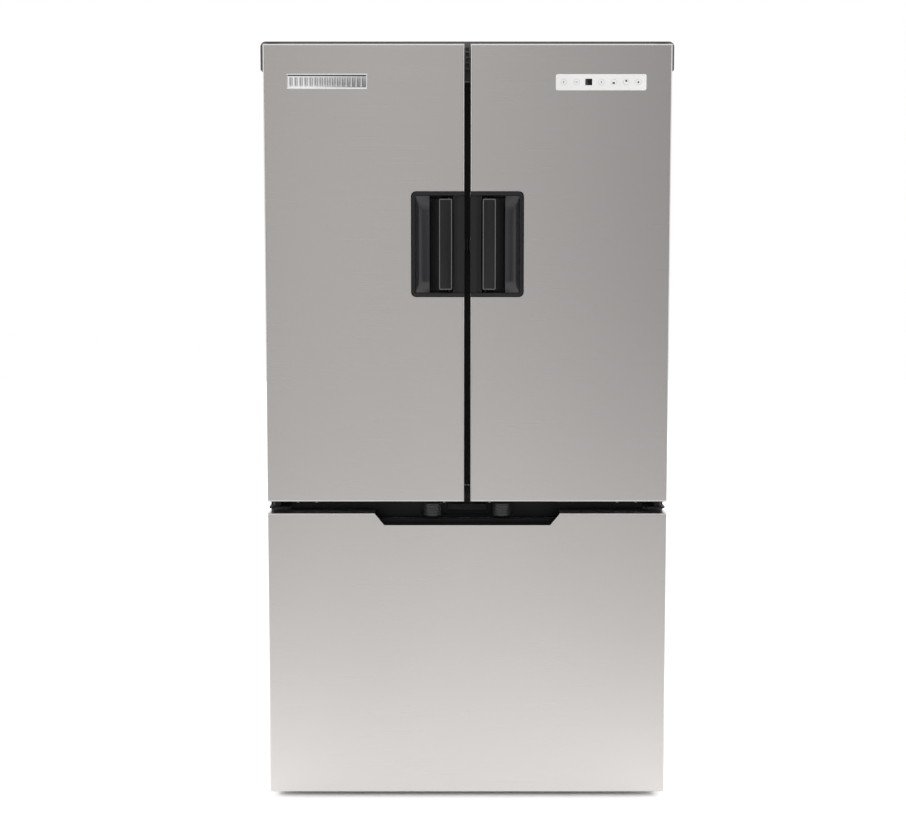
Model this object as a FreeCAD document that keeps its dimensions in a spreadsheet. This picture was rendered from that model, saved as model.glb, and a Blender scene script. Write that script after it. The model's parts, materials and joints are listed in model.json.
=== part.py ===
"""French door refrigerator: two upper doors with recessed latch handles over a full-width freezer drawer.

Frame: millimetres, +X to the viewer's right, +Y to the back, +Z up, origin on the floor under the middle.
"""
import FreeCAD
import Part
import Sketcher
import os
import re

Vector = FreeCAD.Vector
doc = FreeCAD.newDocument("refrigerator")

# ---------------------------------------------------------------------------------------------------
# Driving dimensions
# ---------------------------------------------------------------------------------------------------

SIZES = {
    # whole object
    "depth_half": 350,           # floor plan, from the middle to the badge in front or the back sheet
    "cabinet_half": 450,         # half the cabinet's width
    "cabinet_top": 1700,
    "cabinet_base": 60,          # underside of the insulated box
    "cabinet_face": 275,         # how far the cabinet's front plane is ahead of the middle
    "sheet": 0.8,                # steel sheet
    "wrap_round": 6,
    "over": 1,                   # how far a cutting tool runs past the face it enters
    "thin_cut": 10,              # depth of a cut through sheet
    "deep_cut": 60,              # depth of a cut through a whole door
    "foam_drop": 5.3,            # the foam's top below the sheet, clear of the rounded shoulders
    "back_seam": 0.3,            # from the machine compartment's top to the edge of either sheet
    "back_drop": 2,
    # compartments
    "cavity_half": 403,          # half the width inside the liners
    "liner": 2,                  # vacuum formed liner
    "cavity_back": 301,
    "fresh_floor": 715,
    "fresh_ceiling": 1625,
    "freezer_floor": 110,
    "freezer_ceiling": 620,
    "step_face": 103,            # front of the step over the machine compartment
    "step_top": 347,
    "machine_top": 300,
    "machine_face": 150,
    "machine_roof": 45,          # thickness of the insulation over the machine compartment
    # doors and drawer front
    "door_face": 348.5,          # front plane of the steel fronts
    "door_back": 288,            # back plane of the door liners
    "door_half": 450,
    "gap_half": 6.5,             # half the gap between the two doors
    "door_low": 685,
    "door_high": 1699,
    "front_low": 15,             # drawer front, above the floor
    "front_high": 659,
    "skin_depth": 58.5,          # how far the folded steel runs back
    "skin_round": 4,
    "inset": 1.8,                # filling set in from the folded steel
    "panel": 2,                  # thickness of the inner panels
    "cap_height": 18,            # moulded caps at a door's ends
    "cap_inset": 1,
    "cap_round": 2,
    "frame_width": 14,           # raised frame on an inner panel
    "door_frame_outer": 400,
    "door_frame_inner": 40,
    "door_frame_low": 730,
    "door_frame_high": 1612,
    "door_frame_rise": 53,
    "door_seal_low": 697,
    "door_seal_high": 1647,
    "cap_low": 600,              # moulded cap along the top of the drawer front
    "channel_floor": 614,
    "channel_back": 302,
    "channel_wall": 1,
    "channel_side": 2,
    "upstand_high": 640,
    "drawer_frame_half": 385,
    "drawer_frame_low": 128,
    "drawer_frame_high": 604,
    "drawer_frame_rise": 26,
    "drawer_seal_low": 92,
    "drawer_seal_high": 638,
    "notch_low": 632,
    "notch_low_half": 187,
    "notch_high_half": 210,
    # hinge line of the doors
    "hinge_x": 430,
    "hinge_y": 320,
    "hinge_pin": 5,
    "running_gap": 0.05,
    "pin_hole_side": 2,          # from the pin to the sides of the hole in the steel
    "pin_hole_depth": 5,
    "pin_clear": 3,              # from the pin to the foam
    "pin_bore": 30,
    "foam_bore": 20,
    "leaf_half": 16,
    "leaf_front": 14,
    "leaf_back": 4,
    "leaf": 3,
    "leaf_round": 12,
    "top_pin": 25,
    "bracket_outer": 18,
    "bracket_inner": 26,
    "bracket_front": 15,
    "bracket_top": 13,           # below the doors
    "bracket": 4,
    "bracket_round": 10,
    "flange_end": 335,
    "flange": 3,
    "flange_drop": 21,
    "flange_height": 17,
    "collar": 9,
    "collar_height": 12.5,
    "mid_pin": 32,
    "mid_pin_drop": 15,
    # catch blocks
    "catch_half": 106,
    "catch_low": 645,
    "catch_high": 681,
    "catch_plate": 3,
    "bar_half": 46,
    "bar_low": 655,
    "bar_high": 673,
    "bar_depth": 14,
    "nose_x": 79,
    "nose": 20,
    "nose_depth": 25,
    "nose_low": 647,
    "nose_height": 30,
    # screws
    "screw": 4,
    "screw_head": 2.2,
    "screw_round": 1,
    "mid_screw_first": 42,
    "mid_screw_step": 43,
    "mid_screw_drop": 8,
    "top_screw_first": 62,
    "top_screw_step": 22,
    "catch_screw_x": 52,
    "catch_screw_z": 677,
    # gasket rings
    "seal_outer": 428,
    "seal_inner": 12,
    "seal_width": 16,
    "seal_rest": 275.3,
    # handles
    "handle_outer": 125,
    "handle_low": 1145,
    "handle_high": 1378,
    "handle_back": 306,
    "handle_rim": 10,
    "handle_round": 11,
    "handle_gap": 0.3,           # between the steel and the moulding
    "wall_step": 5,              # the bay's edge below the steel's face
    "shelf_face": 342,           # flat land between the lever and the gap between the doors
    "bay_back": 310,
    "bay_inner": 32,
    "bay_edge": 84,
    "hook_low": 1250,
    "hook_high": 1273,
    "hook_gap": 3,
    "hook_back": 319.5,
    "hook": 3,
    "hook_end": 3.5,
    "hook_room_front": 325,
    "hook_room_back": 311,
    "hook_room_inner": 4,
    "hook_room_outer": 36,
    "lever_low": 1161,
    "lever_high": 1362,
    "lever_inner": 34,
    "lever_outer": 63,
    "lever_face": 347.5,
    "lever_back": 337,
    "pivot_x": 40,
    "pivot_y": 334,
    "pivot_pin": 3,
    "pivot_boss": 6,
    "pin_reach": 10,
    "bore_reach": 12,
    "lever_round": 1.6,
    # centre post
    "post_half": 30,
    "post_back": 245,
    "post_round": 3,
    "keeper_low": 1245,
    "keeper_high": 1278,
    "keeper_reach": 43,
    "keeper_half": 1.5,
    "keeper_foot": 2,
    "keeper_foot_half": 5,
    "keeper_margin": 10,
    # tubs on the doors
    "bin_outer": 385.5,
    "bin_inner": 54.5,
    "bin_gap": 0.5,
    "bin_face": 172,
    "bin_wall": 2.5,
    "bin_round": 10,
    "low_bin": 930,
    "low_bin_top": 1045,
    "middle_bin": 1180,
    "middle_bin_top": 1280,
    "high_bin": 1420,
    "high_bin_top": 1510,
    # badge and touch panel
    "badge_outer": 398,
    "badge_inner": 220,
    "badge_low": 1601,
    "badge_high": 1634,
    "badge_round": 1,
    "panel_left": 194,
    "panel_right": 393,
    "panel_low": 1598,
    "panel_high": 1633,
    "panel_thick": 1,
    "panel_round": 4,
    "display_left": 258.5,
    "display_right": 273.7,
    "display_low": 1609,
    "display_high": 1623,
    "display_thick": 0.2,
    # slides, basket and tray
    "rail_inner": 398.5,
    "middle_outer": 398,
    "middle_inner": 392.5,
    "arm_outer": 392,
    "arm_inner": 386.5,
    "rail_front": 262,
    "rail_back": 98,
    "arm_back": 96,
    "rail_low": 250,
    "rail_high": 290,
    "rail_step": 4,
    "tub_round": 12,
    "basket_half": 382,
    "basket_front": 255,
    "basket_back": 88,
    "basket_low": 128.5,
    "basket_high": 430,
    "tray_half": 368,
    "tray_front": 248,
    "tray_back": 40,
    "tray_low": 470,
    "tray_high": 570,
    # shelves and crispers
    "shelf_front": 150,
    "shelf_back": 275,
    "shelf_glass": 4,
    "upper_shelf": 1330,
    "lower_shelf": 1060,
    "crisper_lid": 905,
    "shelf_margin": 1,
    "pane_inset": 6,
    "trim_width": 12,
    "trim_drop": 12,
    "lid_front": 116,
    "crisper_front": 112,
    "crisper_back": 262,
    "crisper_low": 720,
    "crisper_high": 892,
    "crisper_outer": 396,
    "crisper_inner": 8,
    "crisper_round": 10,
    "tower_half": 90,
    "tower_depth": 20,
    "tower_low": 960,
    "tower_high": 1600,
    "vent_half": 60,
    "vent_first": 1120,
    "vent_step": 100,
    "vent_height": 8,
    "vent_depth": 5,
    "lens_half": 120,
    "lens_drop": 8,
    "wall": 3,
    # top housing
    "housing_half": 463,
    "housing_low": 1651,
    "housing_high": 1714,
    "housing_front": 281,
    "housing_back": 200,
    "housing_wall": 3,
    "housing_round": 12,
    "arm_slot_half": 18,
    "arm_slot_low": 0.5,
    "arm_slot_high": 4,
    "arm_slot_depth": 8,
    "grille_left": 47,
    "grille_low": 6,
    "grille_hole": 8,
    "grille_depth": 6,
    "grille_rise": 36,
    "grille_run": 86,
    # floor gear
    "foot_x": 415,
    "foot_y": 245,
    "roller_y": 300,
    "roller": 26,
    "roller_width": 24,
    "axle": 4,
    "axle_length": 40,
    "rail_half": 20,
    "channel_half": 16,
    "base_front": 265,
    "base_back": 345,
    "base_low": 16,
    "channel_front": 200,
    "channel_end": 340,
    "channel_top": 56,
    "foot": 20,
    "foot_height": 9,
    "foot_round": 3,
    "stud": 5,
    "stud_length": 49,
    "stud_hole": 5.2,
    "cross_face": 262,
    "cross_end": 225,
    "cross_low": 34,
    "rear_cross_front": 150,
    "rear_cross_end": 346,
    "rear_cross_low": 58,
    # freezer cooling
    "cover_half": 398,
    "cover_front": 235,
    "cover_back": 239,
    "fan_level": 560,
    "fan_hole": 52,
    "slot_width": 60,
    "slot_pitch": 85,
    "slot_first": 370,
    "slot_low": 14,
    "slot_height": 8,
    "fin_front": 248,
    "fin_back": 292,
    "fin_low": 370,
    "fin_high": 485,
    "fin_first": 300,
    "fin_pitch": 30,
    "fin": 1,
    "tube": 4,
    "evaporator_tube_start": 310,
    "evaporator_tube_length": 620,
    "evaporator_blades": 46,
    "evaporator_hub": 14,
    "evaporator_rotor_depth": 22,
    "evaporator_rotor_front": 245,
    # machine compartment
    "condenser_blades": 68,
    "condenser_hub": 18,
    "condenser_rotor_depth": 26,
    "condenser_rotor_start": 120,
    "condenser_fan_level": 180,
    "grommet_hold": 0.5,
    "compressor_x": 215,
    "compressor_y": 250,
    "plate_half_x": 90,
    "plate_half_y": 65,
    "plate_low": 78,
    "plate_high": 84.5,
    "grommet": 12,
    "grommet_x": 75,
    "grommet_y": 50,
    "stub": 5,
    "stub_low": 200,
    "stub_length": 50,
    "stub_x": 25,
    "condenser_start": 360,
    "condenser_length": 180,
    "condenser_fin_first": 350,
    "condenser_fin_pitch": 16,
    "condenser_fin": 1.5,
    "condenser_front": 190,
    "condenser_back": 310,
    "condenser_low": 92,
    "condenser_high": 270,
    "pan_left": 372,
    "pan_right": 100,
    "pan_front": 165,
    "pan_back": 335,
    "pan_low": 61,
    "pan_high": 84,
    "pan_wall": 2,
    "pan_round": 8,
    "louvre_width": 150,
    "louvre_height": 6,
    "louvre_first": 110,
    "louvre_pitch": 22,
}

# counts and shapes
MOST_NODES = 60
GRILLE_ROWS = 4
GRILLE_COLUMNS = 9
VENTS = 5
COVER_SLOTS = 9
EVAPORATOR_FINS = 21
EVAPORATOR_TUBES = [(back, level) for back in (259, 281) for level in (390, 428, 466)]
CONDENSER_FINS = 11
CONDENSER_TUBES = [(back, level) for back in (215, 250, 285) for level in (110, 155, 200, 245)]
LOUVRE_ROWS = 7
LOUVRE_COLUMNS = (-360, -180, 30, 210)       # left edges
BLADES = 6
BLADE_TILT = 35                              # degrees
BLADE_SHARE = 0.62                           # a blade's width for each unit of the fan's radius
BLADE_THICK = 2
BLADE_ROOT = 2                               # how deep a blade sits in the hub
SIDE_NAMES = ((-1, "left"), (1, "right"))
TOLERANCE = 0.001                            # places closer than this are the same
# the handle's scoop from rim to bay, and the compressor's outline from its bottom up
SCOOP = [("-108", "-328"), ("-98", "-324"), ("-bay_edge", "-322"), ("-bay_edge + over", "-312"),
         ("-64", "-bay_back")]
POT = [("0", "84"), ("66", "84"), ("72", "96"), ("72", "170"), ("66", "205"), ("46", "228"), ("0", "236")]

sheet = doc.addObject("Spreadsheet::Sheet", "dims")
for row, (alias, size) in enumerate(SIZES.items(), start=1):
    sheet.set("A%d" % row, alias.replace("_", " "))
    sheet.set("B%d" % row, str(size))
    sheet.setAlias("B%d" % row, alias)
doc.recompute()

# ---------------------------------------------------------------------------------------------------
# Helpers. A formula is text in the sheet's own names, such as "door_half - sheet".
# ---------------------------------------------------------------------------------------------------

SIDES = ("x", "y", "z")
ROLES = {"XY": "XY_Plane", "XZ": "XZ_Plane", "YZ": "YZ_Plane"}
nodes = []


def link(formula):
    """The formula with each name pointing at the sheet."""
    return re.sub(r"[a-z][a-z_]+", lambda word: "dims." + word.group(), str(formula))


def size_of(formula):
    """The number that a formula comes to."""
    return float(sheet.evalExpression(link(formula)))


def bind(thing, name, formula):
    thing.setExpression(name, link(formula))


def put(thing, at, along=None):
    """Bind a primitive's place to the sheet, and turn its own Z to lie along X or Y."""
    turns = {"X": FreeCAD.Rotation(Vector(0, 1, 0), 90), "Y": FreeCAD.Rotation(Vector(1, 0, 0), -90)}
    if along in turns:
        thing.Placement = FreeCAD.Placement(Vector(0, 0, 0), turns[along])
    for side, formula in zip(SIDES, at):
        bind(thing, ".Placement.Base." + side, formula)
    return thing


def box(name, x, y, z):
    """A block between pairs of formulas."""
    block = doc.addObject("Part::Box", name)
    for edge, (low, high) in zip(("Length", "Width", "Height"), (x, y, z)):
        bind(block, edge, "(%s) - (%s)" % (high, low))
    return put(block, (x[0], y[0], z[0]))


def rod(name, radius, length, at, along="Z"):
    """A cylinder that starts at a point and runs along +X, +Y or +Z."""
    cylinder = doc.addObject("Part::Cylinder", name)
    bind(cylinder, "Radius", radius)
    bind(cylinder, "Height", length)
    return put(cylinder, at, along)


def fuse(name, pieces):
    joined = doc.addObject("Part::MultiFuse", name)
    joined.Shapes = pieces
    return joined


def cut(name, base, tools):
    """The base with every tool taken out of it."""
    removed = doc.addObject("Part::Cut", name)
    removed.Base = base
    removed.Tool = tools[0] if len(tools) == 1 else fuse(name + "_tools", tools)
    return removed


def group(name, pieces):
    """Separate solids that share one node."""
    gathered = doc.addObject("Part::Compound", name)
    gathered.Links = pieces
    return gathered


def soften(name, base, radius, wanted):
    """Round the edges whose middle point passes the test."""
    doc.recompute()
    rounded = doc.addObject("Part::Fillet", name)
    rounded.Base = base
    picked = [number for number, edge in enumerate(base.Shape.Edges, start=1) if wanted(edge)]
    rounded.Edges = [(number, size_of(radius), size_of(radius)) for number in picked]
    return rounded


def mirrored(name, source):
    """The same piece on the other side of the middle plane."""
    other = doc.addObject("Part::Mirroring", name)
    other.Source = source
    other.Normal = Vector(1, 0, 0)
    return other


def node(label, thing):
    """Hand a finished piece in under its own label."""
    thing.Label = label
    nodes.append(thing)
    return thing


def both_sides(label, left):
    """One piece for the left door and its mirror for the right door."""
    node("left_" + label, left)
    node("right_" + label, mirrored("right_" + label, left))


def new_body(name):
    return doc.addObject("PartDesign::Body", name)


def origin_part(body, role):
    return [part for part in body.Origin.OriginFeatures if part.Role == role][0]


def outline(body, name, plane, offset, corners):
    """A closed sketch through the corners, parallel to one of the body's own planes."""
    sketch = body.newObject("Sketcher::SketchObject", name)
    sketch.AttachmentSupport = [(origin_part(body, ROLES[plane]), "")]
    sketch.MapMode = "FlatFace"
    bind(sketch, ".AttachmentOffset.Base.z", offset)
    points = [Vector(size_of(across), size_of(up), 0) for across, up in corners]
    count = len(points)
    for index in range(count):
        sketch.addGeometry(Part.LineSegment(points[index], points[(index + 1) % count]), False)
    for index in range(count):
        sketch.addConstraint(Sketcher.Constraint("Coincident", index, 2, (index + 1) % count, 1))
    for index, (across, up) in enumerate(corners):
        places = (("DistanceX", points[index].x, across), ("DistanceY", points[index].y, up))
        for kind, start, formula in places:
            number = sketch.addConstraint(Sketcher.Constraint(kind, -1, 1, index, 1, start))
            bind(sketch, "Constraints[%d]" % number, formula)
    return sketch


def rectangle(across, up):
    return [(across[0], up[0]), (across[1], up[0]), (across[1], up[1]), (across[0], up[1])]


def pad(body, name, sketch, length, back=False):
    feature = body.newObject("PartDesign::Pad", name)
    feature.Profile = sketch
    bind(feature, "Length", length)
    feature.Reversed = back
    sketch.Visibility = False
    return feature


def pocket(body, name, sketch, length, back=False):
    """A pocket that has to take something away."""
    doc.recompute()
    before = body.Shape.Volume
    feature = body.newObject("PartDesign::Pocket", name)
    feature.Profile = sketch
    bind(feature, "Length", length)
    feature.Reversed = back
    doc.recompute()
    if not body.Shape.Volume < before:
        raise RuntimeError(name + " cuts nothing")
    return feature


def rounding(body, name, radius, wanted):
    doc.recompute()
    base = body.Tip
    feature = body.newObject("PartDesign::Fillet", name)
    names = ["Edge%d" % number for number, edge in enumerate(base.Shape.Edges, start=1) if wanted(edge)]
    feature.Base = (base, names)
    bind(feature, "Radius", radius)
    return feature


def hollow(body, name, thickness, opened):
    """Turn the body into a sheet of one thickness, open at the faces that pass the test."""
    doc.recompute()
    base = body.Tip
    feature = body.newObject("PartDesign::Thickness", name)
    names = ["Face%d" % number for number, face in enumerate(base.Shape.Faces, start=1) if opened(face)]
    feature.Base = (base, names)
    bind(feature, "Value", thickness)
    feature.Reversed = True
    feature.Join = 0
    return feature


def near(first, second):
    return abs(first - second) < TOLERANCE


def lies_at(shape, axis, place):
    """Whether a face or edge lies wholly in the plane axis = place."""
    bounds = shape.BoundBox
    low = getattr(bounds, axis.upper() + "Min")
    high = getattr(bounds, axis.upper() + "Max")
    return near(low, place) and near(high, place)


def runs_along(edge, axis):
    bounds = edge.BoundBox
    others = [getattr(bounds, other.upper() + "Length") for other in SIDES if other != axis]
    return max(others) < TOLERANCE


# ---------------------------------------------------------------------------------------------------
# Cabinet shell: painted wrap, back sheet, insulation slabs and the two liners
# ---------------------------------------------------------------------------------------------------


def make_wrap():
    """Sides, top and front frame folded from one sheet, rounded along the top."""
    body = new_body("cabinet_wrap_body")
    sides = rectangle(("-cabinet_half", "cabinet_half"), ("cabinet_base", "cabinet_top"))
    pad(body, "wrap_block", outline(body, "wrap_front", "XZ", "cabinet_face", sides),
        "cabinet_face + depth_half - sheet", back=True)
    rounding(body, "wrap_shoulders", "wrap_round", lambda edge: runs_along(edge, "y")
             and near(edge.BoundBox.ZMax, size_of("cabinet_top")))
    hollow(body, "wrap_sheet", "sheet", lambda part: lies_at(part, "y", size_of("depth_half - sheet"))
           or lies_at(part, "z", size_of("cabinet_base")))
    opening = rectangle(("-cavity_half - liner", "cavity_half + liner"),
                        ("freezer_floor - liner", "fresh_ceiling + liner"))
    pocket(body, "wrap_opening", outline(body, "opening", "XZ", "cabinet_face + over", opening), "thin_cut")
    node("cabinet_wrap", body)


def make_back():
    node("cabinet_back", box("back_sheet", ("-cabinet_half", "cabinet_half"),
                             ("depth_half - sheet", "depth_half"),
                             ("machine_top + back_seam", "cabinet_top - back_drop")))


def make_insulation():
    """Slabs round both compartments, with the machine compartment left free at the bottom of the back."""
    inner = "cavity_half + liner"
    outer = "cabinet_half - sheet"
    front = "-cabinet_face + sheet"
    back = "depth_half - sheet"
    middle = ("-(%s)" % inner, inner)
    low = "cabinet_base"
    high = "cabinet_top - sheet - foam_drop"
    slabs = [
        box("slab_left", ("-(%s)" % outer, "-(%s)" % inner), (front, back), (low, high)),
        box("slab_right", (inner, outer), (front, back), (low, high)),
        box("slab_top", middle, (front, back), ("fresh_ceiling + liner", high)),
        box("slab_back", middle, ("cavity_back + liner", back),
            ("machine_top + machine_roof", "fresh_ceiling + liner")),
        box("slab_divider", middle, ("-post_back", "cavity_back + liner"),
            ("freezer_ceiling + liner", "fresh_floor - liner")),
        box("slab_floor", middle, (front, "machine_face"), (low, "freezer_floor - liner")),
        box("slab_step_face", middle, ("step_face + liner", "machine_face"),
            ("freezer_floor - liner", "machine_top")),
        box("slab_step_top", middle, ("step_face + liner", back),
            ("machine_top", "machine_top + machine_roof")),
    ]
    node("cabinet_foam", group("insulation", slabs))


def make_liners():
    """Formed plastic inner boxes, open at the front."""
    across = ("-cavity_half", "cavity_half")
    grown = ("-cavity_half - liner", "cavity_half + liner")
    front = "-cabinet_face + sheet"
    fresh = cut("fresh_liner", box("fresh_shell", grown, (front, "cavity_back + liner"),
                                   ("fresh_floor - liner", "fresh_ceiling + liner")),
                [box("fresh_space", across, ("-cabinet_face", "cavity_back"),
                     ("fresh_floor", "fresh_ceiling"))])
    node("fresh_food_liner", fresh)
    shell = fuse("freezer_shell", [
        box("freezer_shell_low", grown, (front, "step_face + liner"),
            ("freezer_floor - liner", "step_top")),
        box("freezer_shell_high", grown, (front, "cavity_back + liner"),
            ("step_top - liner", "freezer_ceiling + liner")),
    ])
    space = [
        box("freezer_space_low", across, ("-cabinet_face", "step_face"),
            ("freezer_floor", "step_top + over")),
        box("freezer_space_high", across, ("-cabinet_face", "cavity_back"),
            ("step_top", "freezer_ceiling")),
    ]
    node("freezer_liner", cut("freezer_liner_cut", shell, space))


def make_front_frame():
    """The rail between the compartments and the post that both doors close and latch on."""
    inner = "cavity_half + liner"
    node("mid_rail", box("rail", ("-(%s)" % inner, inner), ("-cabinet_face", "-post_back"),
                         ("freezer_ceiling + liner", "fresh_floor - liner")))
    post = box("post_block", ("-post_half", "post_half"), ("-cabinet_face", "-post_back"),
               ("fresh_floor", "fresh_ceiling"))
    node("centre_post", soften("post_soft", post, "post_round", lambda edge: runs_along(edge, "z")
                               and near(edge.BoundBox.YMax, size_of("-post_back"))))
    keeper_foot = box("keeper_foot_block", ("-keeper_foot_half", "keeper_foot_half"),
                      ("-cabinet_face - keeper_foot", "-cabinet_face"),
                      ("keeper_low - keeper_margin", "keeper_high + keeper_margin"))
    keeper_fin = box("keeper_fin", ("-keeper_half", "keeper_half"),
                     ("-cabinet_face - keeper_reach", "-cabinet_face - keeper_foot"),
                     ("keeper_low", "keeper_high"))
    node("latch_keeper", fuse("keeper", [keeper_foot, keeper_fin]))


# ---------------------------------------------------------------------------------------------------
# Top housing, hinges, catches and their screws
# ---------------------------------------------------------------------------------------------------


def make_housing():
    """Moulded cap over the cabinet's top front edge, with rounded shoulders and a grille in the middle."""
    body = new_body("top_housing_body")
    sides = rectangle(("-housing_half", "housing_half"), ("housing_low", "housing_high"))
    pad(body, "housing_block", outline(body, "housing_front_sketch", "XZ", "housing_front", sides),
        "housing_front - housing_back", back=True)
    rounding(body, "housing_shoulders", "housing_round", lambda edge: runs_along(edge, "y")
             and near(edge.BoundBox.ZMax, size_of("housing_high")))
    hollow(body, "housing_shell", "housing_wall", lambda part: lies_at(part, "y", size_of("-housing_back"))
           or lies_at(part, "z", size_of("housing_low")))
    for side, name in SIDE_NAMES:
        across = ("%d*hinge_x - arm_slot_half" % side, "%d*hinge_x + arm_slot_half" % side)
        slot = rectangle(across, ("cabinet_top - arm_slot_low", "cabinet_top + arm_slot_high"))
        pocket(body, name + "_arm_slot", outline(body, name + "_slot", "XZ", "housing_front + over", slot),
               "arm_slot_depth")
    hole = rectangle(("-grille_left", "-grille_left + grille_hole"),
                     ("housing_low + grille_low", "housing_low + grille_low + grille_hole"))
    first = pocket(body, "first_hole", outline(body, "grille_sketch", "XZ", "housing_front + over", hole),
                   "grille_depth")
    grid = body.newObject("PartDesign::MultiTransform", "grille")
    grid.Originals = [first]
    rows = body.newObject("PartDesign::LinearPattern", "grille_rows")
    rows.Direction = (origin_part(body, "Z_Axis"), [""])
    bind(rows, "Length", "grille_rise")
    rows.Occurrences = GRILLE_ROWS
    columns = body.newObject("PartDesign::LinearPattern", "grille_columns")
    columns.Direction = (origin_part(body, "X_Axis"), [""])
    bind(columns, "Length", "grille_run")
    columns.Occurrences = GRILLE_COLUMNS
    grid.Transformations = [rows, columns]
    body.Tip = grid
    node("top_housing", body)


def make_hinges():
    """Top leaves on the cabinet and middle brackets on the rail, each with a fixed pin into a door."""
    arm = box("top_leaf", ("-hinge_x - leaf_half", "-hinge_x + leaf_half"),
              ("-hinge_y - leaf_front", "-housing_back - leaf_back"), ("cabinet_top", "cabinet_top + leaf"))
    nose = soften("top_leaf_soft", arm, "leaf_round", lambda edge: runs_along(edge, "z")
                  and near(edge.BoundBox.YMax, size_of("-hinge_y - leaf_front")))
    pin = rod("top_pin_rod", "hinge_pin", "top_pin + leaf",
              ("-hinge_x", "-hinge_y", "cabinet_top - top_pin"))
    top = fuse("left_top_hinge", [nose, pin])
    node("top_hinges", group("top_hinge_pair", [top, mirrored("right_top_hinge", top)]))
    flange = box("mid_flange", ("-hinge_x - bracket_outer", "-flange_end"),
                 ("-cabinet_face - flange", "-cabinet_face"),
                 ("door_low - flange_drop", "door_low - flange_drop + flange_height"))
    plate = box("mid_plate", ("-hinge_x - bracket_outer", "-hinge_x + bracket_inner"),
                ("-hinge_y - bracket_front", "-cabinet_face"),
                ("door_low - bracket_top - bracket", "door_low - bracket_top"))
    plate_soft = soften("mid_plate_soft", plate, "bracket_round", lambda edge: runs_along(edge, "z")
                        and near(edge.BoundBox.YMax, size_of("-hinge_y - bracket_front")))
    foot = ("-hinge_x", "-hinge_y", "door_low - bracket_top")
    ring_collar = rod("mid_collar", "collar", "collar_height", foot)
    stub = rod("mid_pin_rod", "hinge_pin", "mid_pin", ("-hinge_x", "-hinge_y", "door_low - mid_pin_drop"))
    middle = fuse("left_mid_hinge", [flange, plate_soft, ring_collar, stub])
    node("mid_hinges", group("mid_hinge_pair", [middle, mirrored("right_mid_hinge", middle)]))


def make_catches():
    """Two rounded catch blocks under the doors' inner corners, on one plate with a stiffening bar."""
    face = "-cabinet_face - catch_plate"
    plate = box("catch_back", ("-catch_half", "catch_half"), (face, "-cabinet_face"),
                ("catch_low", "catch_high"))
    bar = box("catch_bar", ("-bar_half", "bar_half"), ("-cabinet_face - bar_depth", face),
              ("bar_low", "bar_high"))
    pieces = [plate, bar]
    for side, name in SIDE_NAMES:
        middle = "%d*nose_x" % side
        front = "-cabinet_face - nose_depth"
        neck = box(name + "_catch_neck", (middle + " - nose", middle + " + nose"), (front, face),
                   ("nose_low", "nose_low + nose_height"))
        pieces += [neck, rod(name + "_catch_nose", "nose", "nose_height", (middle, front, "nose_low"))]
    node("door_catches", fuse("catches", pieces))


def far_end(head, along):
    """Where the end of a screw's head is, along its axis."""
    doc.recompute()
    return getattr(head.Shape.BoundBox, along + ("Min" if along == "Y" else "Max"))


def screw(name, x, y, z, along):
    """A pan head that stands on the face at its place."""
    head = rod(name + "_head", "screw", "screw_head", (x, y, z), along)
    outer = far_end(head, along)
    return soften(name, head, "screw_round",
                  lambda edge: edge.Closed and lies_at(edge, along.lower(), outer))


def make_screws():
    """Screws of the hinges and of the catch plate."""
    face = "-cabinet_face - flange - screw_head"
    screws = []
    for side, name in SIDE_NAMES:
        for index in range(2):
            inward = "%d*(hinge_x - mid_screw_first - %d*mid_screw_step)" % (side, index)
            screws.append(screw("%s_mid_screw_%d" % (name, index), inward, face,
                                "door_low - mid_screw_drop", "Y"))
            back = "-hinge_y + top_screw_first + %d*top_screw_step" % index
            screws.append(screw("%s_top_screw_%d" % (name, index), "%d*hinge_x" % side, back,
                                "cabinet_top + leaf", "Z"))
        screws.append(screw(name + "_catch_screw", "%d*catch_screw_x" % side, face, "catch_screw_z", "Y"))
    node("hinge_screws", group("screws", screws))


# ---------------------------------------------------------------------------------------------------
# Doors. The left one is drawn, the right one is its mirror.
# ---------------------------------------------------------------------------------------------------


def folded_front(name, across, up):
    """A steel pan: front and four folded edges, open at the back."""
    body = new_body(name + "_body")
    pad(body, name + "_block", outline(body, name + "_outline", "XZ", "door_face", rectangle(across, up)),
        "skin_depth", back=True)
    face = size_of("-door_face")
    rounding(body, name + "_edges", "skin_round", lambda edge: lies_at(edge, "y", face))
    hollow(body, name + "_sheet", "sheet",
           lambda part: lies_at(part, "y", size_of("-door_face + skin_depth")))
    return body


def make_door_skin():
    body = folded_front("door_skin", ("-door_half", "-gap_half"), ("door_low", "door_high"))
    edge_x = "-handle_outer - handle_gap"
    window = rectangle((edge_x, "0"), ("handle_low - handle_gap", "handle_high + handle_gap"))
    pocket(body, "handle_window", outline(body, "window", "XZ", "door_face + over", window),
           "door_face - handle_back + handle_gap + over")
    rounding(body, "window_corners", "handle_round + handle_gap", lambda edge: runs_along(edge, "y")
             and near(edge.BoundBox.XMin, size_of(edge_x)))
    reach = "(hinge_pin + pin_hole_side)"
    for name, height in (("low_pin_hole", "door_low - over"), ("high_pin_hole", "door_high - 3*over")):
        square = rectangle(("-hinge_x - " + reach, "-hinge_x + " + reach),
                           ("-hinge_y - " + reach, "-hinge_y + " + reach))
        sketch = outline(body, name + "_sketch", "XY", height, square)
        pocket(body, name, sketch, "pin_hole_depth", back=True)
    both_sides("door_skin", body)


ACROSS_DOOR = ("-door_half + inset", "-gap_half - inset")
DEEP_IN_DOOR = ("-door_face + inset", "-door_back - panel")


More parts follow.
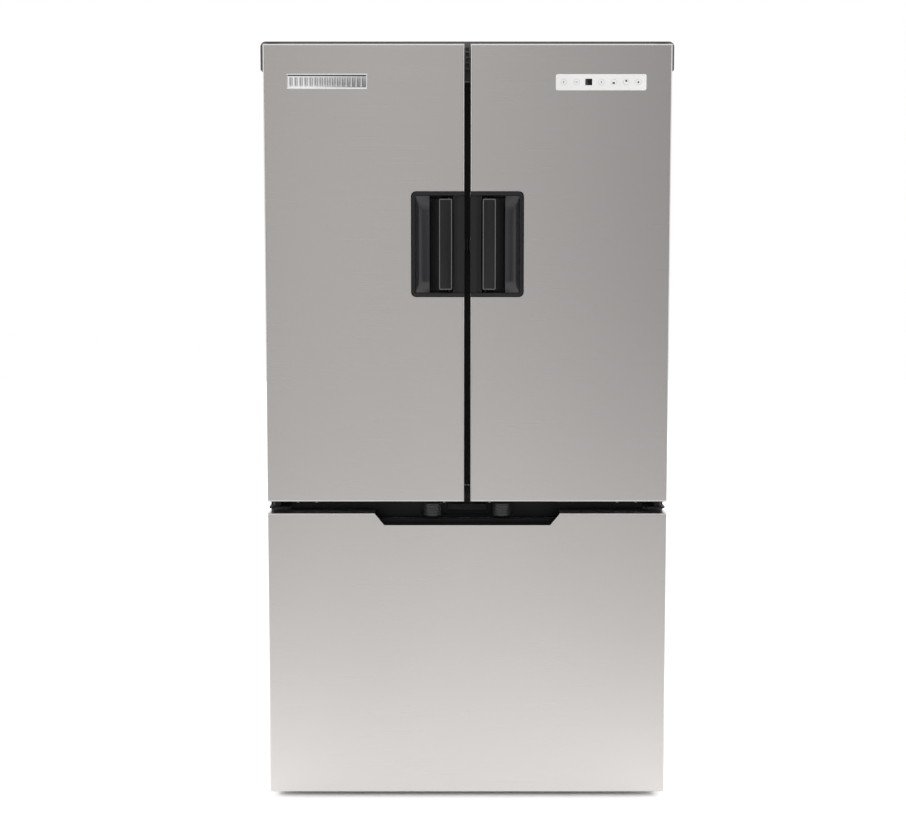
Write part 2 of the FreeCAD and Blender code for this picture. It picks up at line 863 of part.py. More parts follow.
def make_end_caps():
    """Moulded caps that close the door's ends and carry the hinge bushes."""
    ends = []
    for name, low, high in (("low", "door_low + cap_inset", "door_low + cap_inset + cap_height"),
                            ("high", "door_high - cap_inset - cap_height", "door_high - cap_inset")):
        block = soften(name + "_cap_soft", box(name + "_cap_block", ACROSS_DOOR, DEEP_IN_DOOR, (low, high)),
                       "cap_round", lambda edge: lies_at(edge, "y", size_of(DEEP_IN_DOOR[0])))
        bore = rod(name + "_cap_bore", "hinge_pin + running_gap", "pin_bore",
                   ("-hinge_x", "-hinge_y", low + " - over"))
        ends.append(cut(name + "_cap", block, [bore]))
    both_sides("end_caps", group("left_end_cap_pair", ends))


def make_door_foam():
    low = "door_low + cap_inset + cap_height"
    high = "door_high - cap_inset - cap_height"
    block = box("door_foam_block", ACROSS_DOOR, DEEP_IN_DOOR, (low, high))
    space = box("door_foam_space", ("-handle_outer - over", "0"), ("-door_face", "-handle_back + over"),
                ("handle_low - over", "handle_high + over"))
    pins = [rod("foam_low_pin", "hinge_pin + pin_clear", "foam_bore",
                ("-hinge_x", "-hinge_y", low + " - over")),
            rod("foam_high_pin", "hinge_pin + pin_clear", "foam_bore",
                ("-hinge_x", "-hinge_y", high + " - foam_bore + over"))]
    both_sides("door_foam", cut("door_foam_cut", block, [space] + pins))


def ring(name, across, up, deep, width):
    """A rectangular frame, seen from the front."""
    outer = box(name + "_outer", across, deep, up)
    inner = box(name + "_inner", ("%s + %s" % (across[0], width), "%s - %s" % (across[1], width)),
                ("%s - over" % deep[0], "%s + over" % deep[1]),
                ("%s + %s" % (up[0], width), "%s - %s" % (up[1], width)))
    return cut(name, outer, [inner])


def make_door_liner():
    """Flat inner panel and a raised frame that carries the bins."""
    flat = box("door_panel", ACROSS_DOOR, ("-door_back - panel", "-door_back"),
               ("door_low + cap_inset", "door_high - cap_inset"))
    frame = ring("door_frame", ("-door_frame_outer", "-door_frame_inner"),
                 ("door_frame_low", "door_frame_high"), ("-door_back", "-door_back + door_frame_rise"),
                 "frame_width")
    both_sides("door_liner", group("door_liner_pair", [flat, frame]))


def make_door_gasket():
    seal = ring("door_gasket_ring", ("-seal_outer", "-seal_inner"), ("door_seal_low", "door_seal_high"),
                ("-door_back", "-seal_rest"), "seal_width")
    both_sides("door_gasket", seal)


def make_handle():
    """Recessed grip: a rim, a scoop for the fingers and a deep bay behind the latch lever."""
    body = new_body("handle_body")
    frame = rectangle(("-handle_outer", "-gap_half"), ("handle_low", "handle_high"))
    pad(body, "handle_block", outline(body, "handle_front", "XZ", "door_face", frame),
        "door_face - handle_back", back=True)
    rounding(body, "handle_corners", "handle_round", lambda edge: runs_along(edge, "y")
             and near(edge.BoundBox.XMax, size_of("-handle_outer")))
    edge = "-handle_outer + handle_rim"
    profile = [
        (edge, "-door_face - over"), (edge, "-door_face + wall_step"),
        *SCOOP,
        ("-bay_inner", "-bay_back"), ("-bay_inner", "-shelf_face"),
        ("-gap_half + over", "-shelf_face"), ("-gap_half + over", "-door_face - over"),
    ]
    sketch = outline(body, "bay", "XY", "handle_low + handle_rim", profile)
    pocket(body, "bay_pocket", sketch, "handle_high - handle_low - 2*handle_rim", back=True)
    slot = rectangle(("-hook_room_outer", "-hook_room_inner"), ("-hook_room_front", "-hook_room_back"))
    pocket(body, "hook_slot", outline(body, "hook_slot_sketch", "XY", "hook_low - hook_gap", slot),
           "hook_high - hook_low + 2*hook_gap", back=True)
    base = body.Tip
    bore = body.newObject("PartDesign::SubtractiveCylinder", "pivot_bore")
    bind(bore, "Radius", "pivot_pin + running_gap")
    bind(bore, "Height", "lever_high - lever_low + 2*bore_reach")
    put(bore, ("-pivot_x", "-pivot_y", "lever_low - bore_reach"))
    doc.recompute()
    if not body.Shape.Volume < base.Shape.Volume:
        raise RuntimeError("pivot_bore cuts nothing")
    both_sides("handle_pocket", body)


def make_lever():
    """The upright grip bar, with its pivot pins and the hook that reaches to the keeper."""
    bar = box("lever_bar", ("-lever_outer", "-lever_inner"), ("-lever_face", "-lever_back"),
              ("lever_low", "lever_high"))
    soft = soften("lever_bar_soft", bar, "lever_round",
                  lambda edge: lies_at(edge, "y", size_of("-lever_face")))
    boss = rod("lever_boss", "pivot_boss", "lever_high - lever_low", ("-pivot_x", "-pivot_y", "lever_low"))
    pins = rod("lever_pins", "pivot_pin", "lever_high - lever_low + 2*pin_reach",
               ("-pivot_x", "-pivot_y", "lever_low - pin_reach"))
    up = ("hook_low", "hook_high")
    stem = box("lever_stem", ("-pivot_x - hook", "-pivot_x + hook"), ("-pivot_y", "-hook_back"), up)
    tail = box("lever_tail", ("-pivot_x - hook", "-hook_end"), ("-hook_back - hook", "-hook_back"), up)
    both_sides("latch_lever", fuse("lever", [soft, boss, pins, stem, tail]))


def open_box(name, x, y, z, wall, round_by):
    """A tub with an open top and upright corners rounded inside and out."""
    outer = soften(name + "_outside", box(name + "_outer", x, y, z), round_by,
                   lambda edge: runs_along(edge, "z"))
    hollow_x = ("%s + %s" % (x[0], wall), "%s - %s" % (x[1], wall))
    hollow_y = ("%s + %s" % (y[0], wall), "%s - %s" % (y[1], wall))
    hollow_z = ("%s + %s" % (z[0], wall), "%s + over" % z[1])
    inner = soften(name + "_inside", box(name + "_inner", hollow_x, hollow_y, hollow_z),
                   "%s - %s" % (round_by, wall), lambda edge: runs_along(edge, "z"))
    return cut(name, outer, [inner])


def make_door_bins():
    """Three tubs a door, hung between the sides of the liner's raised frame."""
    levels = (("low_bin", "low_bin_top"), ("middle_bin", "middle_bin_top"), ("high_bin", "high_bin_top"))
    bins = [open_box("door_" + low, ("-bin_outer", "-bin_inner"), ("-door_back + bin_gap", "-bin_face"),
                     (low, high), "bin_wall", "bin_round")
            for low, high in levels]
    both_sides("door_bins", group("left_bins", bins))


def make_door_extras():
    """A blank badge plate on the left door and a flat touch panel on the right one."""
    badge = box("badge_plate", ("-badge_outer", "-badge_inner"), ("-depth_half", "-door_face"),
                ("badge_low", "badge_high"))
    node("badge", soften("badge_soft", badge, "badge_round",
                         lambda edge: lies_at(edge, "y", size_of("-depth_half"))))
    plate = box("panel_plate", ("panel_left", "panel_right"), ("-door_face - panel_thick", "-door_face"),
                ("panel_low", "panel_high"))
    corners = soften("panel_corners", plate, "panel_round", lambda edge: runs_along(edge, "y"))
    display = box("panel_display", ("display_left", "display_right"),
                  ("-door_face - panel_thick - display_thick", "-door_face - panel_thick"),
                  ("display_low", "display_high"))
    node("control_panel", fuse("panel_join", [corners, display]))


# ---------------------------------------------------------------------------------------------------
# Freezer drawer
# ---------------------------------------------------------------------------------------------------


def make_drawer_front():
    body = folded_front("drawer_skin", ("-door_half", "door_half"), ("front_low", "front_high"))
    notch = [("-notch_high_half", "front_high + over"), ("-notch_low_half", "notch_low"),
             ("notch_low_half", "notch_low"), ("notch_high_half", "front_high + over")]
    pocket(body, "notch", outline(body, "notch_sketch", "XZ", "door_face + over", notch), "deep_cut")
    node("drawer_skin", body)
    across = ("-door_half + inset", "door_half - inset")
    node("drawer_foam", box("drawer_foam_block", across, DEEP_IN_DOOR, ("front_low + inset", "cap_low")))
    block = box("drawer_cap_block", across, DEEP_IN_DOOR, ("cap_low", "front_high - inset"))
    sides = ("-notch_high_half - channel_side", "notch_high_half + channel_side")
    channel = box("drawer_channel", sides, ("-door_face", "-channel_back"), ("channel_floor", "front_high"))
    relief = box("drawer_relief", sides, ("-channel_back - channel_wall", "-door_back"),
                 ("upstand_high", "front_high"))
    node("drawer_cap", cut("drawer_cap_cut", block, [channel, relief]))
    flat = box("drawer_panel", across, ("-door_back - panel", "-door_back"),
               ("front_low + inset", "upstand_high"))
    frame = ring("drawer_frame", ("-drawer_frame_half", "drawer_frame_half"),
                 ("drawer_frame_low", "drawer_frame_high"),
                 ("-door_back", "-door_back + drawer_frame_rise"), "frame_width")
    node("drawer_liner", fuse("drawer_liner_join", [flat, frame]))
    seal = ring("drawer_gasket_ring", ("-seal_outer", "seal_outer"),
                ("drawer_seal_low", "drawer_seal_high"), ("-door_back", "-seal_rest"), "seal_width")
    node("drawer_gasket", seal)


def slide_member(name, near_side, far_side, deep, up):
    """A strip on each side wall, between two distances from the middle."""
    left = box(name + "_strip", ("-(%s)" % far_side, "-(%s)" % near_side), deep, up)
    return group(name, [left, mirrored(name + "_mirror", left)])


def make_slides():
    """Full-extension slides in three members, one inside the other."""
    deep = ("-rail_front", "rail_back")
    heights = [("rail_low + %d*rail_step" % step, "rail_high - %d*rail_step" % step) for step in range(3)]
    node("drawer_rails", slide_member("fixed_rails", "rail_inner", "cavity_half", deep, heights[0]))
    node("middle_slides", slide_member("moving_rails", "middle_inner", "middle_outer", deep, heights[1]))
    node("drawer_slides", slide_member("inner_rails", "arm_inner", "arm_outer", ("-door_back", "arm_back"),
                                       heights[2]))


def make_freezer_bins():
    node("freezer_basket", open_box("basket_tub", ("-basket_half", "basket_half"),
                                    ("-basket_front", "basket_back"), ("basket_low", "basket_high"),
                                    "wall", "tub_round"))
    node("freezer_tray", open_box("tray_tub", ("-tray_half", "tray_half"), ("-tray_front", "tray_back"),
                                  ("tray_low", "tray_high"), "wall", "tub_round"))


# ---------------------------------------------------------------------------------------------------
# Fresh food fittings
# ---------------------------------------------------------------------------------------------------


def glazed(name, x, front, level, drop):
    """A glass pane in the rebate of a moulded trim: the two pieces."""
    back = "shelf_back"
    inset = ("%s + pane_inset - shelf_margin" % x[0], "%s - pane_inset + shelf_margin" % x[1])
    deep = ("-%s + pane_inset" % front, back + " - pane_inset")
    pane = box(name + "_pane", inset, deep, (level, level + " + shelf_glass"))
    outer = box(name + "_trim_outer", x, ("-" + front, back),
                ("%s - %s" % (level, drop), level + " + pane_inset"))
    width = "trim_width - shelf_margin"
    inner = box(name + "_trim_inner", ("%s + %s" % (x[0], width), "%s - (%s)" % (x[1], width)),
                ("-%s + trim_width" % front, back + " - trim_width"),
                ("%s - %s - over" % (level, drop), level + " + pane_inset + over"))
    rebate = box(name + "_rebate", inset, deep, (level, level + " + pane_inset + over"))
    return pane, cut(name + "_trim", outer, [inner, rebate])


def make_shelves():
    """Four half shelves and the crisper lid."""
    panes = []
    trims = []
    half = ("-cavity_half + shelf_margin", "-shelf_margin")
    for level in ("upper_shelf", "lower_shelf"):
        pane, trim = glazed(level, half, "shelf_front", level, "trim_drop")
        panes += [pane, mirrored(level + "_pane_right", pane)]
        trims += [trim, mirrored(level + "_trim_right", trim)]
    whole = ("-cavity_half + shelf_margin", "cavity_half - shelf_margin")
    pane, trim = glazed("lid", whole, "lid_front", "crisper_lid", "pane_inset")
    node("shelf_glass", group("panes", panes + [pane]))
    node("shelf_trims", group("trims", trims + [trim]))


def make_crispers():
    sides = {"left": ("-crisper_outer", "-crisper_inner"), "right": ("crisper_inner", "crisper_outer")}
    for side, across in sides.items():
        node(side + "_crisper", open_box(side + "_crisper_tub", across, ("-crisper_front", "crisper_back"),
                                         ("crisper_low", "crisper_high"), "wall", "crisper_round"))


def make_air_and_light():
    front = "cavity_back - tower_depth"
    tower = box("tower", ("-tower_half", "tower_half"), (front, "cavity_back"), ("tower_low", "tower_high"))
    vents = []
    for index in range(VENTS):
        low = "vent_first + %d*vent_step" % index
        vents.append(box("tower_vent_%d" % index, ("-vent_half", "vent_half"),
                         (front + " - over", front + " + vent_depth"), (low, low + " + vent_height")))
    node("air_tower", cut("air_tower_cut", tower, vents))
    node("lamp_lens", box("lens", ("-lens_half", "lens_half"), ("-lens_half", "0"),
                          ("fresh_ceiling - lens_drop", "fresh_ceiling")))


# ---------------------------------------------------------------------------------------------------
# Cooling system
# ---------------------------------------------------------------------------------------------------


def fan(label, axis, radius, hub, depth, at):
    """An axial fan: a hub with tilted blades that are joined into it."""
    core = rod(label + "_hub", hub, depth, at, axis)
    pieces = [core]
    turn_axis = Vector(1, 0, 0) if axis == "X" else Vector(0, 1, 0)
    tilt = FreeCAD.Rotation(Vector(0, 0, 1), BLADE_TILT if axis == "X" else BLADE_TILT + 90)
    width = size_of(radius) * BLADE_SHARE
    root = size_of(hub) - BLADE_ROOT
    middle = Vector(*[size_of(part) for part in at]) + turn_axis * (size_of(depth) / 2)
    for number in range(BLADES):
        blade = doc.addObject("Part::Box", "%s_blade_%d" % (label, number))
        blade.Length = BLADE_THICK
        blade.Width = width
        blade.Height = size_of(radius) - root
        turn = FreeCAD.Rotation(turn_axis, 360 * number / BLADES)
        offset = tilt.multVec(Vector(-BLADE_THICK / 2, -width / 2, 0)) + Vector(0, 0, root)
        blade.Placement = FreeCAD.Placement(middle + turn.multVec(offset), turn * tilt)
        pieces.append(blade)
    node(label, fuse(label + "_rotor", pieces))


def coil(name, across, deep, up, tube_at, tube_run):
    """Upright fins in a row, joined by tubes.

    across gives the first fin's place, the pitch, the count and a fin's thickness.
    """
    first, pitch, count, thick = across
    fins = []
    for index in range(count):
        left = "%s + %d*%s" % (first, index, pitch)
        fins.append(box("%s_fin_%d" % (name, index), (left, "%s + %s" % (left, thick)), deep, up))
    tubes = [rod("%s_tube_%d" % (name, index), "tube", tube_run[1], (tube_run[0], back, level), "X")
             for index, (back, level) in enumerate(tube_at)]
    node(name, fuse(name + "_join", fins + tubes))


def make_freezer_cooling():
    """Evaporator, its fan and the cover in front of them."""
    cover = box("cover_plate", ("-cover_half", "cover_half"), ("cover_front", "cover_back"),
                ("step_top + over", "freezer_ceiling - over"))
    reach = ("cover_front - over", "cover_back + over")
    cuts = [rod("cover_hole", "fan_hole", "thin_cut", ("0", "cover_front - over", "fan_level"), "Y")]
    for index in range(COVER_SLOTS):
        left = "-slot_first + %d*slot_pitch" % index
        cuts.append(box("cover_slot_%d" % index, (left, left + " + slot_width"), reach,
                        ("step_top + slot_low", "step_top + slot_low + slot_height")))
    node("evaporator_cover", cut("cover", cover, cuts))
    coil("evaporator", ("-fin_first", "fin_pitch", EVAPORATOR_FINS, "fin"), ("fin_front", "fin_back"),
         ("fin_low", "fin_high"), EVAPORATOR_TUBES,
         ("-evaporator_tube_start", "evaporator_tube_length"))
    fan("evaporator_fan", "Y", "evaporator_blades", "evaporator_hub", "evaporator_rotor_depth",
        ("0", "evaporator_rotor_front", "fan_level"))


def make_compressor():
    """A domed steel pot on a base plate with two pipe stubs."""
    body = new_body("compressor_body")
    sketch = outline(body, "pot_profile", "XZ", "0", POT)
    pot = body.newObject("PartDesign::Revolution", "pot")
    pot.Profile = sketch
    pot.ReferenceAxis = (sketch, ["V_Axis"])
    pot.Angle = 360
    bind(body, ".Placement.Base.x", "compressor_x")
    bind(body, ".Placement.Base.y", "compressor_y")
    plate = box("compressor_plate", ("compressor_x - plate_half_x", "compressor_x + plate_half_x"),
                ("compressor_y - plate_half_y", "compressor_y + plate_half_y"), ("plate_low", "plate_high"))
    corners = [(across, back) for across in (-1, 1) for back in (-1, 1)]
    mounts = [rod("grommet_%d" % index, "grommet", "plate_low - cabinet_base + grommet_hold",
                  ("compressor_x + %d*grommet_x" % across, "compressor_y + %d*grommet_y" % back,
                   "cabinet_base"))
              for index, (across, back) in enumerate(corners)]
    pipes = [rod("pipe_stub_%d" % index, "stub", "stub_length",
                 ("compressor_x + %d*stub_x" % side, "compressor_y", "stub_low"))
             for index, side in enumerate((-1, 1))]
    node("compressor", fuse("compressor_join", [body, plate] + mounts + pipes))


def make_machine_compartment():
    make_compressor()
    coil("condenser_coil", ("-condenser_fin_first", "condenser_fin_pitch", CONDENSER_FINS, "condenser_fin"),
         ("condenser_front", "condenser_back"), ("condenser_low", "condenser_high"),
         CONDENSER_TUBES,
         ("-condenser_start", "condenser_length"))
    fan("condenser_fan", "X", "condenser_blades", "condenser_hub", "condenser_rotor_depth",
        ("-condenser_rotor_start", "compressor_y", "condenser_fan_level"))
    node("drain_pan", open_box("pan", ("-pan_left", "pan_right"), ("pan_front", "pan_back"),
                               ("pan_low", "pan_high"), "pan_wall", "pan_round"))
    cover = box("machine_sheet", ("-cabinet_half", "cabinet_half"), ("depth_half - sheet", "depth_half"),
                ("cabinet_base + back_drop", "machine_top - back_seam"))
    louvres = []
    for column, left in enumerate(LOUVRE_COLUMNS):
        for row in range(LOUVRE_ROWS):
            low = "louvre_first + %d*louvre_pitch" % row
            louvres.append(box("louvre_%d_%d" % (column, row), (left, "%d + louvre_width" % left),
                               ("depth_half - sheet - over", "depth_half + over"),
                               (low, low + " + louvre_height")))
    node("machine_cover", cut("machine_cover_cut", cover, louvres))


# ---------------------------------------------------------------------------------------------------
# Base: frame, front feet and rear rollers
# ---------------------------------------------------------------------------------------------------


def make_base():
    rails = []
    for side, name in SIDE_NAMES:
        middle = "%d*foot_x" % side
        rail = box(name + "_rail", (middle + " - rail_half", middle + " + rail_half"),
                   ("-base_front", "base_back"), ("base_low", "cabinet_base"))
        channel = box(name + "_channel", (middle + " - channel_half", middle + " + channel_half"),
                      ("-channel_front", "channel_end"), ("base_low - over", "channel_top"))
        hole = rod(name + "_foot_hole", "stud_hole", "deep_cut", (middle, "-foot_y", "base_low - over"))
        axle = rod(name + "_axle", "axle", "axle_length",
                   (middle + " - rail_half", "roller_y", "roller"), "X")
        rails.append(fuse(name + "_rail_axle", [cut(name + "_rail_cut", rail, [channel, hole]), axle]))
    between = ("-foot_x + rail_half", "foot_x - rail_half")
    cross = [box("front_cross", between, ("-cross_face", "-cross_end"), ("cross_low", "cabinet_base")),
             box("rear_cross", between, ("rear_cross_front", "rear_cross_end"),
                 ("rear_cross_low", "cabinet_base"))]
    return rails + cross


def make_floor_gear():
    """Levelling feet in front; rollers behind, on axles fixed in the side rails."""
    node("base_frame", group("base_members", make_base()))
    feet = []
    wheels = []
    for side, name in SIDE_NAMES:
        middle = "%d*foot_x" % side
        puck = rod(name + "_foot_puck", "foot", "foot_height", (middle, "-foot_y", "0"))
        soft = soften(name + "_foot_soft", puck, "foot_round", lambda edge: edge.Closed)
        stud = rod(name + "_foot_stud", "stud", "stud_length", (middle, "-foot_y", "foot_height - over"))
        feet.append(fuse(name + "_foot", [soft, stud]))
        tread = rod(name + "_tread", "roller", "roller_width",
                    (middle + " - roller_width/2", "roller_y", "roller"), "X")
        bore = rod(name + "_roller_bore", "axle + running_gap", "axle_length",
                   (middle + " - axle_length/2", "roller_y", "roller"), "X")
        wheels.append(cut(name + "_roller", tread, [bore]))
    node("levelling_feet", group("feet", feet))
    node("rear_rollers", group("rollers", wheels))


# ---------------------------------------------------------------------------------------------------
# Build, check and write
# ---------------------------------------------------------------------------------------------------


def write_nodes():
    doc.recompute()
    for thing in doc.Objects:
        if "Invalid" in thing.State or "Error" in thing.State:
            raise RuntimeError("%s failed: %s" % (thing.Name, thing.State))
    labels = [thing.Label for thing in nodes]
    if len(labels) != len(set(labels)) or len(labels) > MOST_NODES:
        raise RuntimeError("labels repeat or are too many")
    os.makedirs("parts", exist_ok=True)
    for thing in nodes:
        if thing.Shape.isNull() or not thing.Shape.isValid() or not thing.Shape.Solids:
            raise RuntimeError(thing.Label + " has no valid solid")
        thing.Shape.exportStep("parts/%s.step" % thing.Label)
    print(len(labels), "nodes written")


make_wrap()
make_back()
make_insulation()
make_liners()
make_front_frame()
make_housing()
make_hinges()
make_catches()
make_screws()
make_door_skin()
make_end_caps()
make_door_foam()
make_door_liner()
make_door_gasket()
make_handle()
make_lever()
make_door_bins()
make_door_extras()
make_drawer_front()
make_slides()
make_freezer_bins()
make_shelves()
make_crispers()
make_air_and_light()
make_freezer_cooling()
make_machine_compartment()
make_floor_gear()
write_nodes()
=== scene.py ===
"""Looks of the french door refrigerator: materials, finished pieces, camera and studio. Metres throughout."""
import json
import math

import bmesh
import bpy
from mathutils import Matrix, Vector


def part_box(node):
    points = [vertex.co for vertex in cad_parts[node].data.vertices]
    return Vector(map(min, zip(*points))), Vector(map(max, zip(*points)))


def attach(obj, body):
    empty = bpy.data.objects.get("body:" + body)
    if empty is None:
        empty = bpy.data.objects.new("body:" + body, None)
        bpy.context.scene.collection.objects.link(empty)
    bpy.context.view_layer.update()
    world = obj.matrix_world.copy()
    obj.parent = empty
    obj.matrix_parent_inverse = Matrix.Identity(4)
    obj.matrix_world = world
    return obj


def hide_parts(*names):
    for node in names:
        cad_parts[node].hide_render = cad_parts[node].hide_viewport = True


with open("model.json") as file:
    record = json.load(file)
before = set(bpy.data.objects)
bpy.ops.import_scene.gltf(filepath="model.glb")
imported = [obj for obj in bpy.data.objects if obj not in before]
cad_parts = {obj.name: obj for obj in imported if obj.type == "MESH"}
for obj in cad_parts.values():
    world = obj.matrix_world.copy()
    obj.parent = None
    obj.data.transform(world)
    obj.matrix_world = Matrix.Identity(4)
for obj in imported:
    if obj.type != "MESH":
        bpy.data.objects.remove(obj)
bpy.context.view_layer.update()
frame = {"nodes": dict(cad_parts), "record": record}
nodes = frame["nodes"]

# ---------------------------------------------------------------------------------------------------
# Material kit
# ---------------------------------------------------------------------------------------------------


class Finish:
    """A Principled material built step by step from procedural nodes, in the object's own coordinates."""

    def __init__(self, name, color, roughness, metallic=0.0):
        self.material = bpy.data.materials.new(name)
        self.material.use_nodes = True
        self.tree = self.material.node_tree
        self.shader = self.tree.nodes["Principled BSDF"]
        self.coords = self.tree.nodes.new("ShaderNodeTexCoord")
        self.color = color
        self.shader.inputs["Base Color"].default_value = (*color, 1)
        self.shader.inputs["Roughness"].default_value = roughness
        self.shader.inputs["Metallic"].default_value = metallic
        self.height = None

    def add(self, kind, **inputs):
        made = self.tree.nodes.new(kind)
        for label, value in inputs.items():
            made.inputs[label.replace("_", " ")].default_value = value
        return made

    def wire(self, source, target):
        self.tree.links.new(source, target)

    def noise(self, scale, stretch=(1, 1, 1), detail=3.0, rough=0.5, shift=0.0):
        """Noise whose grains are 1/scale across, pulled along the axes with a small stretch."""
        place = self.add("ShaderNodeMapping", Scale=[scale * part for part in stretch],
                         Location=(shift, shift, shift))
        self.wire(self.coords.outputs["Object"], place.inputs["Vector"])
        cloud = self.add("ShaderNodeTexNoise", Scale=1.0, Detail=detail, Roughness=rough)
        self.wire(place.outputs["Vector"], cloud.inputs["Vector"])
        return cloud.outputs["Fac"]

    def cells(self, scale):
        """Crystal or foam cells, 1/scale across."""
        place = self.add("ShaderNodeMapping", Scale=[scale] * 3)
        self.wire(self.coords.outputs["Object"], place.inputs["Vector"])
        stones = self.add("ShaderNodeTexVoronoi", Scale=1.0)
        self.wire(place.outputs["Vector"], stones.inputs["Vector"])
        return stones.outputs["Distance"]

    def span(self, source, low, high):
        """The source, which is mostly within 0.3 to 0.7, spread from low to high."""
        spread = self.tree.nodes.new("ShaderNodeMapRange")
        for label, value in (("From Min", 0.3), ("From Max", 0.7), ("To Min", low), ("To Max", high)):
            spread.inputs[label].default_value = value
        self.wire(source, spread.inputs["Value"])
        return spread.outputs["Result"]

    def vary_color(self, source, dark=0.92, light=1.06):
        """Mottle the base colour by the source."""
        mix = self.tree.nodes.new("ShaderNodeMix")
        mix.data_type = "RGBA"
        mix.inputs["A"].default_value = (*[min(1, part * dark) for part in self.color], 1)
        mix.inputs["B"].default_value = (*[min(1, part * light) for part in self.color], 1)
        self.wire(self.span(source, 0, 1), mix.inputs["Factor"])
        self.wire(mix.outputs["Result"], self.shader.inputs["Base Color"])
        return self

    def vary_roughness(self, source, low, high):
        self.wire(self.span(source, low, high), self.shader.inputs["Roughness"])
        return self

    def bump(self, source, strength, depth):
        """Raise the surface by the source, on top of any earlier bump."""
        raised = self.add("ShaderNodeBump", Strength=strength, Distance=depth)
        self.wire(source, raised.inputs["Height"])
        if self.height is not None:
            self.wire(self.height, raised.inputs["Normal"])
        self.height = raised.outputs["Normal"]
        self.wire(self.height, self.shader.inputs["Normal"])
        return self

    def set(self, **values):
        for label, value in values.items():
            self.shader.inputs[label.replace("_", " ")].default_value = value
        return self


def brushed(name, color, roughness, grain=(3, 3, 900), strength=0.05, spread=0.05):
    """Satin sheet metal with long fine scratches along the axes that have a small stretch."""
    finish = Finish(name, color, roughness, metallic=1.0)
    scratches = finish.noise(1.0, grain, detail=4.0, rough=0.6)
    broad = finish.noise(2.2, (1, 1, 0.6), detail=2.0, shift=3.1)
    finish.vary_color(broad, 0.985, 1.015)
    finish.vary_roughness(scratches, roughness - spread, roughness + spread)
    finish.bump(scratches, strength, 0.0004)
    finish.set(Anisotropic=0.35)
    return finish


def moulded(name, color, roughness, grain=1400, strength=0.16, coat=0.0):
    """Injection moulded plastic with a fine spark-eroded grain."""
    finish = Finish(name, color, roughness)
    fine = finish.noise(grain, detail=2.0)
    broad = finish.noise(9, detail=3.0, shift=1.7)
    finish.vary_color(broad, 0.93, 1.07)
    finish.vary_roughness(fine, roughness - 0.05, roughness + 0.06)
    finish.bump(fine, strength, 0.0003)
    if coat:
        finish.set(Coat_Weight=coat, Coat_Roughness=0.12)
    return finish


def painted(name, color, roughness, peel=420, strength=0.12):
    """Powder coated sheet with orange peel."""
    finish = Finish(name, color, roughness)
    peel_noise = finish.noise(peel, detail=1.5)
    broad = finish.noise(4, detail=3.0, shift=5.3)
    finish.vary_color(broad, 0.95, 1.05)
    finish.vary_roughness(broad, roughness - 0.03, roughness + 0.05)
    finish.bump(peel_noise, strength, 0.0005)
    return finish


def clear_plastic(name, color, roughness=0.08):
    """Clear polystyrene with faint flow lines."""
    finish = Finish(name, color, roughness)
    flow = finish.noise(14, (1, 1, 4), detail=2.0)
    finish.vary_color(flow, 0.97, 1.03)
    finish.bump(flow, 0.04, 0.001)
    finish.set(Transmission_Weight=0.85, IOR=1.2, Alpha=0.75)
    return finish


def glass():
    """Tempered pane with a greenish cast."""
    finish = Finish("shelf_glass", (0.84, 0.94, 0.91), 0.03)
    ripple = finish.noise(7, detail=1.0)
    finish.vary_color(ripple, 0.97, 1.03)
    finish.bump(ripple, 0.02, 0.001)
    finish.set(Transmission_Weight=0.9, IOR=1.3, Alpha=0.7)
    return finish


def galvanised():
    """Zinc sheet with crystal spangles."""
    finish = Finish("galvanised_sheet", (0.40, 0.41, 0.42), 0.42, metallic=0.8)
    spangle = finish.cells(140)
    finish.vary_color(spangle, 0.94, 1.05)
    finish.vary_roughness(spangle, 0.38, 0.46)
    finish.bump(finish.noise(300, detail=2.0), 0.06, 0.0004)
    return finish


def foam():
    """Cured insulating foam with open cells."""
    finish = Finish("foam", (0.86, 0.76, 0.48), 0.85)
    cells = finish.cells(500)
    finish.vary_color(finish.noise(30), 0.9, 1.08)
    finish.bump(cells, 0.5, 0.0006)
    return finish


def rubber():
    """Soft grey door seal."""
    finish = Finish("gasket_rubber", (0.26, 0.26, 0.265), 0.6)
    fine = finish.noise(900, detail=2.0)
    finish.vary_color(finish.noise(14), 0.93, 1.07)
    finish.vary_roughness(fine, 0.55, 0.68)
    finish.bump(fine, 0.1, 0.0003)
    return finish


